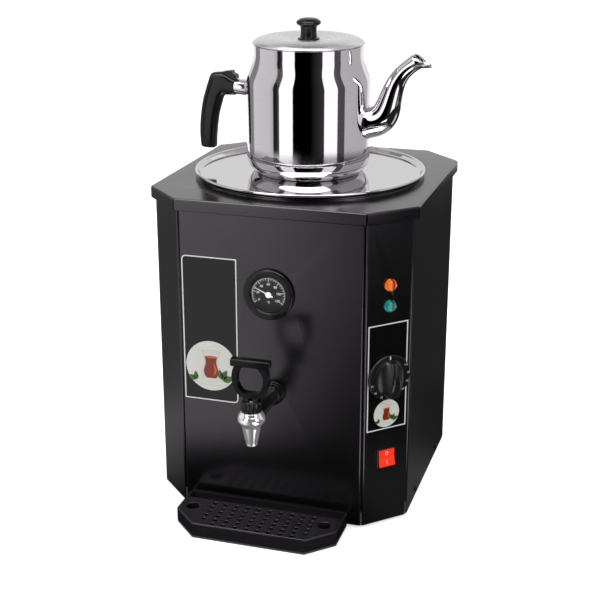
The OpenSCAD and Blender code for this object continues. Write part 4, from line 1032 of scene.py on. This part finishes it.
# ---- Tap ----
# A chromed brass body turned to a waist, a bulge and a tapered outlet, on a black plastic barrel with
# stacked collars at the panel. A fluted black bonnet carries the lever on a steel pin.
spout_lo, spout_hi = box_mm("tap_spout")
spout_r = (spout_hi.x - spout_lo.x) / 2
tap_y = spout_lo.y + spout_r
on_tap = Matrix.Translation((spout_lo.x + spout_r, tap_y, 0))
tap_z = tap_at.z
barrel_r = 9
bore_r, chamber_r = 4.5, 7.5
waist_r = 11.2
outlet_z, body_top = spout_lo.z, spout_hi.z
seat_z = tap_z - barrel_r - 0.6
chrome = grained("chromed brass", (0.9, 0.89, 0.9), (0.86, 0.85, 0.86), 0.04, 0.07, 300, 40, metal=0.76)
tap_line = [(bore_r, tap_z - 9), (bore_r, outlet_z + 0.4), (bore_r + 0.4, outlet_z), (5.3, outlet_z)]
tap_line += flowing([(5.7, outlet_z + 0.5), (6.2, outlet_z + 1.4), (6.35, outlet_z + 3),
                     (8.0, tap_z - 20.5), (10.2, tap_z - 10.5), (10.7, tap_z - 8.2),
                     (11.3, tap_z - 6.4)], 4)
tap_line += [(waist_r + (spout_r - waist_r) * cos(radians(a)), tap_z + 1 + 6 * sin(radians(a)))
             for a in range(-62, 66, 9)]
tap_line += rounded([(waist_r + 0.5, tap_z + 7.2), (waist_r + 0.3, body_top), (chamber_r, body_top)],
                    0.5, 4)[1:]
tap_line += [(chamber_r, seat_z), (bore_r, seat_z)]
piece("tap_spout_turning", [spun(tap_line, 96)], chrome, "urn", ["tap_spout"], on_tap,
      crease=28)

on_barrel = Matrix.Translation((tap_at.x, -half_d, tap_z)) @ Matrix.Rotation(pi / 2, 4, "X")
barrel_end = -tap_y - half_d - chamber_r - 1
groove_r = barrel_r + 2
barrel_line = [(0, -20), (barrel_r - 1, -20), (barrel_r - 1, 0.8)]
for start, r, low, high in ((barrel_r - 1, barrel_r + 5, 0.8, 3.2), (groove_r, barrel_r + 4, 4.2, 7.6),
                            (groove_r, barrel_r + 3, 8.6, 12)):
    barrel_line += rounded([(start, low), (r, low), (r, high), (groove_r, high)], [0, 0.5, 0.9, 0], 4)
barrel_line += [(groove_r, 12.6), (groove_r - 0.5, 13.2), (barrel_r + 0.4, 13.4), (barrel_r, 13.9),
                (barrel_r, barrel_end), (0, barrel_end)]
piece("tap_barrel_moulding", [spun(barrel_line, 80)], black_moulding, "urn",
      ["tap_barrel"], on_barrel, crease=40)

collar_lo, collar_hi = box_mm("tap_collar")
collar_r = (collar_hi.x - collar_lo.x) / 2
collar_top = collar_hi.z
flutes, flute_steps = 20, 8


def fluted_ring(radius, depth, z):
    """A ring with a hollow flute between each pair of ribs."""
    ring = []
    for k in range(flutes * flute_steps):
        reach = radius - depth * (0.5 - 0.5 * cos(2 * pi * (k % flute_steps) / flute_steps)) ** 0.7
        angle = 2 * pi * k / (flutes * flute_steps)
        ring.append((reach * cos(angle), reach * sin(angle), z))
    return ring


pin_z = collar_top - 3
hub_r, cheek_w = 6, 8
bonnet = [fluted_ring(collar_r - less, depth, body_top + up)
          for less, depth, up in ((1.2, 0, 0), (0.4, 0, 0.1), (0, 0, 0.6), (0, 0, 1.6), (0, 0.75, 2.4))]
bonnet += [fluted_ring(r, depth, collar_top - down)
           for r, depth, down in ((collar_r, 0.75, 2.2), (collar_r - 0.2, 0.1, 1.2),
                                  (collar_r - 0.9, 0, 0.3), (collar_r - 1.6, 0, 0.05),
                                  (cheek_w + 0.5, 0, 0.05), (cheek_w + 0.5, 0, 5.2), (0.1, 0, 5.2))]
spigot_line = [(7.4, body_top + 0.2), (7.4, body_top - 5), (0, body_top - 5)]
piece("tap_bonnet", [skin(bonnet, True), spun(spigot_line, 48)], black_moulding, "urn",
      ["tap_collar"], on_tap, crease=45)

# Lever: a loop under a rounded cross bar, on a foot whose two cheeks turn on the pin
lever_lo, lever_hi = box_mm("tap_lever")
bar_w, bar_t, bar_deep = lever_hi.x - lever_lo.x, 8.5, lever_hi.y - lever_lo.y
bar_low = lever_hi.z - bar_t - pin_z
loop_t = 9
loop_a, loop_b, loop_mid = 20.5, 25.1, 28.1        # half widths, half heights and middle heights of
inner_a, inner_b, inner_mid = 14.9, 17.1, 26.1     # the loop's outer and inner ovals
foot_low = 6.4
lever_satin = grained("satin black lever", (0.003, 0.0027, 0.0032), (0.0048, 0.0045, 0.005), 0.12, 0.17,
                      800, 30, 0.015, IOR=1.26)


def oval_cut(a, b, mid, low, high, count=40):
    """An oval outline about the upright, cut flat at two heights."""
    start = asin((low - mid) / b)
    end = asin(min((high - mid) / b, 1.0))
    turns = [start + (end - start) * k / count for k in range(count + 1)]
    return ([(a * cos(t), mid + b * sin(t)) for t in turns]
            + [(-a * cos(t), mid + b * sin(t)) for t in reversed(turns)])


def lever_piece(name, parts):
    """A piece of the lever, from parts about its pin."""
    return piece(name, parts, lever_satin, "lever", ["tap_lever"],
                 on_tap @ Matrix.Translation((0, 0, pin_z)), crease=40)


loop_parts = solid_from(oval_cut(loop_a, loop_b, loop_mid, foot_low, bar_low + 2), -loop_t / 2, loop_t / 2,
                        lambda x, y, z: (x, z, y),
                        [oval_cut(inner_a, inner_b, inner_mid, foot_low + 5.0, bar_low, 24)])
soften(lever_piece("tap_lever_loop", loop_parts), 1.6, 5, 50)
bar_side = rounded([(-bar_deep / 2, bar_low), (bar_deep / 2, bar_low),
                    (bar_deep / 2, bar_low + bar_t), (-bar_deep / 2, bar_low + bar_t)],
                   [1.2, 3.0, 4.0, 3.0], 6, True)
bar_mid = bar_low + bar_t / 2
bar_rings = [[(x * bar_w / 2, p.x * share, bar_mid + (p.y - bar_mid) * share) for p in bar_side]
             for x, share in ((-1, 0.86), (-0.992, 0.93), (-0.975, 0.975), (-0.94, 1.0), (0.94, 1.0),
                              (0.975, 0.975), (0.992, 0.93), (1, 0.86))]
lever_piece("tap_lever_bar", [skin(bar_rings, True, True)])
cheek_side = [(-3.5, 9.5), (-3.5, 3), (-hub_r, 0)]
cheek_side += [(-hub_r * cos(pi * k / 16), -hub_r * sin(pi * k / 16)) for k in range(1, 16)]
cheek_side += [(hub_r, 0), (3.5, 3), (3.5, 9.5)]
cheeks = []
for side in (-1, 1):
    cheeks += solid_from(cheek_side, side * 2.6, side * cheek_w, lambda x, y, z: (z, x, y))
cheeks += solid_from(box_loop(2 * cheek_w + 3.2, loop_t + 1, 1.2), foot_low - 0.3, foot_low + 4.2)
cheeks += solid_from(box_loop(6.4, 6.6, 0.6), 3.3, foot_low + 1)
soften(lever_piece("tap_lever_foot", cheeks), 0.5, 3, 50)


# ---- Drip tray ----
# A folded and coated tray that slides out, with a lift-out grid of punched sheet lying on its rim.
# Each drain hole is dimpled, so its edge catches the light, and two bigger holes take a finger.
tray_lo, tray_hi = box_mm("drip_tray")
grid_hi = box_mm("drip_grid")[1]
tray_mid = (tray_lo.x + tray_hi.x) / 2
tray_half = (tray_hi.x - tray_lo.x) / 2
tray_back, grid_back = tray_hi.y, grid_hi.y
rim_z, grid_top = tray_hi.z, grid_hi.z
grid_t = grid_top - rim_z
tray_leg = 29
tray_wall = 2
edge_r = 2.0
tray_coat = grained("tray powder coat", (0.0098, 0.0088, 0.01), (0.0145, 0.013, 0.015), 0.17, 0.24,
                    1300, 11, 0.02, IOR=1.45)


def tray_outline(back, inset):
    """The tray's plan up to a back line, taken in by a distance."""
    w = tray_half - inset
    front = tray_lo.y + inset
    leg = tray_leg - inset * (2 - sqrt(2))
    line = [(tray_mid - w, back - inset), (tray_mid - w, front + leg), (tray_mid - w + leg, front),
            (tray_mid + w - leg, front), (tray_mid + w, front + leg), (tray_mid + w, back - inset)]
    return rounded(line, max(edge_r - inset, 0.1), 4, True)


def tray_rings(back, stations):
    """Rings of the tray's plan from insets and heights."""
    return [flat_ring(tray_outline(back, inset), z) for inset, z in stations]


pan = tray_rings(tray_back, ((1.2, 0.0), (0.35, 0.35), (0.0, 1.2), (0.0, 1.5), (0.0, rim_z - 0.7),
                             (0.0, rim_z - 0.5), (0.4, rim_z), (tray_wall, rim_z),
                             (tray_wall, tray_wall + 1), (tray_wall + 1, tray_wall)))
piece("drip_tray_pan", [skin(pan, True, True)], tray_coat, "tray", ["drip_tray"],
      crease=50)

# Each hole is its place, its radius, the width and depth of its dimple, and its number of sides
drain_holes = []
hole_dx, hole_dy = 13.3, 9.1
for row in range(6):
    for column in range(10):
        if row < 5 or 0 < column < 9:
            drain_holes.append((tray_mid + (column - 4.5) * hole_dx + 4, grid_back - 8 - row * hole_dy,
                                2.5, 2.95, 0.3, 24))
drain_holes += [(tray_mid + side * (tray_half - 16.5), grid_back - 20, 7.5, 8.3, 0.4, 48)
                for side in (-1, 1)]
plate = tray_rings(grid_back, ((0.5, rim_z), (0.0, rim_z + 0.35), (0.0, grid_top - 1.15),
                               (0.0, grid_top - 1.0), (0.1, grid_top - 0.68), (0.35, grid_top - 0.32),
                               (0.72, grid_top - 0.09), (1.3, grid_top)))
plate_parts = [skin(plate)]
plate_parts += [pane([tray_outline(grid_back, 1.3)]
                     + [circle(wide, count, x, y) for x, y, r, wide, deep, count in drain_holes],
                     lambda x, y: (x, y, grid_top))]
plate_parts += [pane([tray_outline(grid_back, 0.5)]
                     + [circle(r, count, x, y) for x, y, r, wide, deep, count in drain_holes],
                     lambda x, y: (x, y, rim_z), False)]
for x, y, r, wide, deep, count in drain_holes:
    plate_parts.append(skin([flat_ring(circle(size, count, x, y), z)
                             for size, z in ((wide, grid_top), (wide - 0.15, grid_top - 0.04),
                                             (r + 0.1, grid_top - deep + 0.08), (r, grid_top - deep),
                                             (r, rim_z))]))
apron_in = tray_wall + 0.3
apron_low = rim_z - 4
plate_parts.append(skin(tray_rings(grid_back, ((apron_in, rim_z), (apron_in, apron_low),
                                               (apron_in + grid_t, apron_low),
                                               (apron_in + grid_t, rim_z)))))
piece("drip_grid_plate", plate_parts, tray_coat, "grid", ["drip_grid"], crease=50)


# ---- Pieces inside, behind and below ----
# The feet are moulded rubber. The tank, its jacket, the element, the wiring pieces and the fasteners
# keep their plain turned and cut shapes, each in the finish of its own material.
feet_hi = box_mm("rubber_feet")[1]
foot_r = 12
foot_mid = feet_hi.x - foot_r
rubber = grained("black rubber", (0.012, 0.012, 0.012), (0.018, 0.018, 0.018), 0.6, 0.75, 600, 40, 0.03)
foot_line = [(2, 1.5)] + rounded([(4.4, 1.5), (4.4, 0), (foot_r - 1, 0), (foot_r, feet_hi.z),
                                  (2, feet_hi.z)], [0, 0.2, 0.6, 0.2, 0], 3) + [(2, 1.5)]
feet = []
for x in (-foot_mid, foot_mid):
    for y in (-foot_mid, foot_mid):
        points, faces = spun(foot_line, 48)
        feet.append(([(p[0] + x, p[1] + y, p[2]) for p in points], faces))
piece("foot_mouldings", feet, rubber, "urn", ["rubber_feet"])


def finish(nodes, material):
    """Gives solids that are shown as they are their finish."""
    for name in nodes.split():
        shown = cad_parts[name]
        shown.data.materials.clear()
        shown.data.materials.append(material)


finish("tap_gasket tank_gasket", rubber)
finish("lamp_holders cable_gland gland_nut", black_moulding)
for name, colour, second, rough, rough_to, size, patches, bump, metal, nodes in (
        ("zinc plated sheet", (0.42, 0.43, 0.44), (0.36, 0.37, 0.38), 0.32, 0.5, 400, 18, 0.01, 1.0,
         "base_plate thermometer_clamp"),
        ("zinc fasteners", (0.5, 0.5, 0.51), (0.44, 0.44, 0.45), 0.28, 0.4, 500, 60, 0, 1.0,
         "foot_screws handle_screw knob_screw tap_pin tap_stem tap_spring thermostat_shaft"),
        ("blackened screws", (0.02, 0.02, 0.021), (0.03, 0.03, 0.031), 0.32, 0.42, 500, 60, 0, 0.6,
         "casing_screws"),
        ("red silicone", (0.3, 0.03, 0.02), (0.36, 0.045, 0.03), 0.5, 0.6, 500, 30, 0, 0,
         "element_gaskets tap_seal"),
        ("mineral wool", (0.42, 0.36, 0.22), (0.6, 0.54, 0.38), 0.9, 1.0, 350, 40, 0.4, 0,
         "insulation_jacket"),
        ("element sheath", (0.3, 0.27, 0.24), (0.2, 0.19, 0.19), 0.35, 0.5, 300, 50, 0, 1.0,
         "heating_element"),
        ("brass nuts", (0.62, 0.42, 0.16), (0.5, 0.33, 0.12), 0.28, 0.4, 500, 50, 0, 1.0,
         "element_nuts tap_locknut earth_stud thermometer_probe"),
        ("copper bulb", (0.62, 0.27, 0.14), (0.45, 0.2, 0.11), 0.28, 0.42, 500, 40, 0, 1.0,
         "thermostat_bulb"),
        ("cream moulding", (0.6, 0.55, 0.42), (0.66, 0.61, 0.48), 0.35, 0.5, 700, 30, 0, 0,
         "terminal_block thermostat_body safety_cutout")):
    finish(nodes, grained(name, colour, second, rough, rough_to, size, patches, bump, metal))
finish("tank", coat("drawn stainless", (0.6, 0.595, 0.585), (0.54, 0.535, 0.525), 0.2, 0.32, 1.0, turning,
                    {"Lines": 700.0, "Waves": 12.0}, 0.05))
for name, edge in (("casing_screws", 0.35), ("cable_gland", 0.5), ("tap_pin", 0.3)):
    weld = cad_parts[name].modifiers.new("weld", "WELD")
    weld.merge_threshold = 0.00001
    soften(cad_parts[name], edge, 2, 45)


# ---- Studio ----
# A white floor and backdrop, three soft lamps and a set of reflecting cards, with the camera a little
# above the urn and to its right. The cards show only in gloss, as a photographer's flags do.
def stage_sheet(name, points, faces, material):
    """A piece of the stage from its points in metres."""
    mesh = bpy.data.meshes.new(name)
    mesh.from_pydata([Vector(point) for point in points], [], faces)
    mesh.materials.append(material)
    made = bpy.data.objects.new(name, mesh)
    bpy.context.collection.objects.link(made)
    return made


# The floor is white for the camera and in gloss and glass, and plain matt for soft light
floor_half, floor_glow, card_lift = 12.0, 0.62, 0.003
floor_white = coat("white floor", (0.8, 0.8, 0.8), rough=1.0, Specular_IOR_Level=0.0,
                   Emission_Color=(1, 1, 1, 1))
tree = floor_white.node_tree
ray = tree.nodes.new("ShaderNodeLightPath").outputs
seen = math_node(tree, "ADD", ray["Is Camera Ray"], ray["Is Glossy Ray"])
seen = math_node(tree, "ADD", seen, ray["Is Transmission Ray"], clamped=True)
tree.links.new(math_node(tree, "MULTIPLY", seen, floor_glow),
               tree.nodes["Principled BSDF"].inputs["Emission Strength"])
stage_sheet("floor", [(x * floor_half, y * floor_half, 0)
                      for x, y in ((-1, -1), (1, -1), (1, 1), (-1, 1))],
            [(0, 1, 2, 3)], floor_white)

world = bpy.data.worlds.new("white studio")
bpy.context.scene.world = world
world.use_nodes = True
tree = world.node_tree
background = tree.nodes["Background"]
ray = tree.nodes.new("ShaderNodeLightPath").outputs
seen = math_node(tree, "ADD", ray["Is Camera Ray"], ray["Is Transmission Ray"], clamped=True)
seen = math_node(tree, "MULTIPLY_ADD", ray["Is Glossy Ray"], 0.72, seen, clamped=True)
tree.links.new(spread(tree, seen, 0, 1, 0.5, 1.0), background.inputs["Strength"])
background.inputs["Color"].default_value = (1, 1, 1, 1)

card_glow = bpy.data.materials.new("card glow")
card_glow.use_nodes = True
tree = card_glow.node_tree
tree.nodes.remove(tree.nodes["Principled BSDF"])
card_light = add_node(tree, "Attribute", attribute_name="light")
glow = add_node(tree, "Emission", {"Color": (1.0, 0.975, 1.0, 1.0),
                                   "Strength": card_light.outputs["Fac"]})
tree.links.new(glow.outputs[0], tree.nodes["Material Output"].inputs["Surface"])


def between(stops, at):
    """The value at a place on a line through stops."""
    for (first, low), (last, high) in zip(stops, stops[1:]):
        if at <= last:
            return low + (high - low) * max(0.0, at - first) / (last - first)
    return stops[-1][1]


def round_card(name, turns, rows):
    """A card round the urn, seen only in gloss, from rows of reach, height and light by turn."""
    points, faces, lights = [], [], []
    for reach, height, light in rows:
        for turn in turns:
            points.append((reach * sin(radians(turn)), -reach * cos(radians(turn)), height))
            lights.append(light(turn))
    wide = len(turns)
    for row in range(len(rows) - 1):
        for k in range(wide - 1):
            first = row * wide + k
            faces.append((first, first + 1, first + 1 + wide, first + wide))
    made = stage_sheet(name, points, faces, card_glow)
    made.data.attributes.new("light", "FLOAT", "POINT").data.foreach_set("value", lights)
    made.visible_camera = False
    made.visible_diffuse = False
    made.visible_shadow = False
    made.visible_transmission = False
    made.visible_volume_scatter = False


# How light the cards are, by the turn round the urn in degrees, from its front towards its right
far_floor = [(-180, 0.04), (-150, 0.04), (-125, 0.15), (-95, 0.15), (-70, 0.4), (-45, 1.0), (-19, 1.0),
             (-14, 0.8), (-10, 0.5), (-7, 0.3), (-4, 0.2), (0, 0.08), (5, 0.02), (96, 0.02),
             (130, 0.035), (180, 0.035)]
near_floor = [(-180, 0.02), (-130, 0.08), (-110, 0.33), (-80, 0.33), (-50, 0.08), (-35, 0.0), (30, 0.0),
              (50, 0.1), (90, 0.1), (120, 0.03), (180, 0.02)]
glints = [(18, 0.0), (20, 3.0), (40, 3.0), (42, 0.0), (102, 0.0), (105, 0.9), (119, 0.9), (122, 0.0)]
overhead = [(-180, 0.5), (-65, 0.5), (-60, 8.0), (70, 8.0), (75, 0.5), (180, 0.5)]
upright = [(-180, 0.3), (-104, 0.3), (-100, 0.85), (-60, 0.8), (-50, 0.62), (-49.5, 0.02),
           (-43, 0.02), (-37.5, 0.12), (-37, 1.7), (-12, 1.7), (-11.5, 0.0), (20, 0.0), (44.5, 0.05),
           (45, 1.6), (69.5, 1.6), (70, 0.1), (84.5, 0.1), (85, 0.65), (150, 0.6), (154, 1.1),
           (170, 1.1)]
floor_edge, card_foot, card_low, card_mid, card_top = 1.3, 0.09, 0.12, 1.62, 1.8


def floor_light(reach):
    """Light of the floor at one reach: dark close to the urn and lighter away from it."""
    share = between([(0.31, 0.0), (0.38, 1.0)], reach)
    glint = between([(0.29, 0.0), (0.32, 1.0), (0.95, 1.0), (1.1, 0.0)], reach)
    return lambda turn: max(between(near_floor, turn) * (1 - share) + between(far_floor, turn) * share,
                            between(glints, turn) * glint)


def upright_light(turn):
    """Light of the standing card."""
    return between(upright, turn)


def upper_light(turn):
    """Light of the standing card's upper edge."""
    return max(0.5, between(upright, turn))


turns = [-180 + 2.5 * k for k in range(145)]
round_card("floor_card", turns, [(reach, card_lift, floor_light(reach))
                                 for reach in (0.05, 0.2, 0.29, 0.32, 0.35, 0.38, 0.6, 0.95, 1.1)]
           + [(floor_edge, card_foot, floor_light(floor_edge))])
round_card("standing_card", [-124 + 0.5 * k for k in range(581)],
           [(floor_edge, card_foot, floor_light(floor_edge)), (floor_edge, card_low, upright_light),
            (floor_edge, card_mid, upright_light), (floor_edge, card_mid + 0.08, upper_light),
            (floor_edge, card_top, upper_light)])


def ceiling_light(reach):
    """Light of a grey ceiling, dark right over the urn, with a bright panel over the front."""
    grey = between([(0.4, 0.03), (0.6, 0.5)], reach)
    share = between([(0.45, 0.0), (0.55, 1.0), (1.2, 1.0), (1.28, 0.0)], reach)
    return lambda turn: grey * (1 - share) + between(overhead, turn) * share


round_card("ceiling_card", turns, [(reach, card_top, ceiling_light(reach))
                                   for reach in (0.02, 0.4, 0.45, 0.55, 0.6, 1.2, 1.28, floor_edge)])

# The floor right under the urn stays in its shade
stage_sheet("shaded_floor", [(p.x * MM, p.y * MM, 0.0006) for p in octagon(-8)], [tuple(range(8))],
            coat("shaded floor", (0.5, 0.5, 0.5), rough=1.0))


def aimed(name, data, place, aim):
    """Stands a lamp or a camera at a place and aims it at a point."""
    made = bpy.data.objects.new(name, data)
    made.location = place
    made.rotation_euler = (Vector(aim) - Vector(place)).to_track_quat("-Z", "Y").to_euler()
    bpy.context.collection.objects.link(made)
    return made


for name, place, wide, high, power in (("soft_lamp_left", (-1.6, -1.5, 1.9), 1.0, 1.4, 34),
                                       ("soft_lamp_right", (1.9, -0.9, 1.5), 0.8, 1.2, 14),
                                       ("soft_lamp_top", (0.1, 0.5, 2.3), 1.6, 1.6, 26)):
    data = bpy.data.lights.new(name, "AREA")
    data.shape = "RECTANGLE"
    data.size = wide
    data.size_y = high
    data.energy = power
    aimed(name, data, place, (0, 0, 0.25))

data = bpy.data.cameras.new("camera")
data.sensor_width = 36
data.lens = 76.67
bpy.context.scene.camera = aimed("camera", data, (0.419, -1.407, 0.729), (-0.0126, 0.0, 0.2127))
bpy.context.scene.view_settings.view_transform = "Standard"
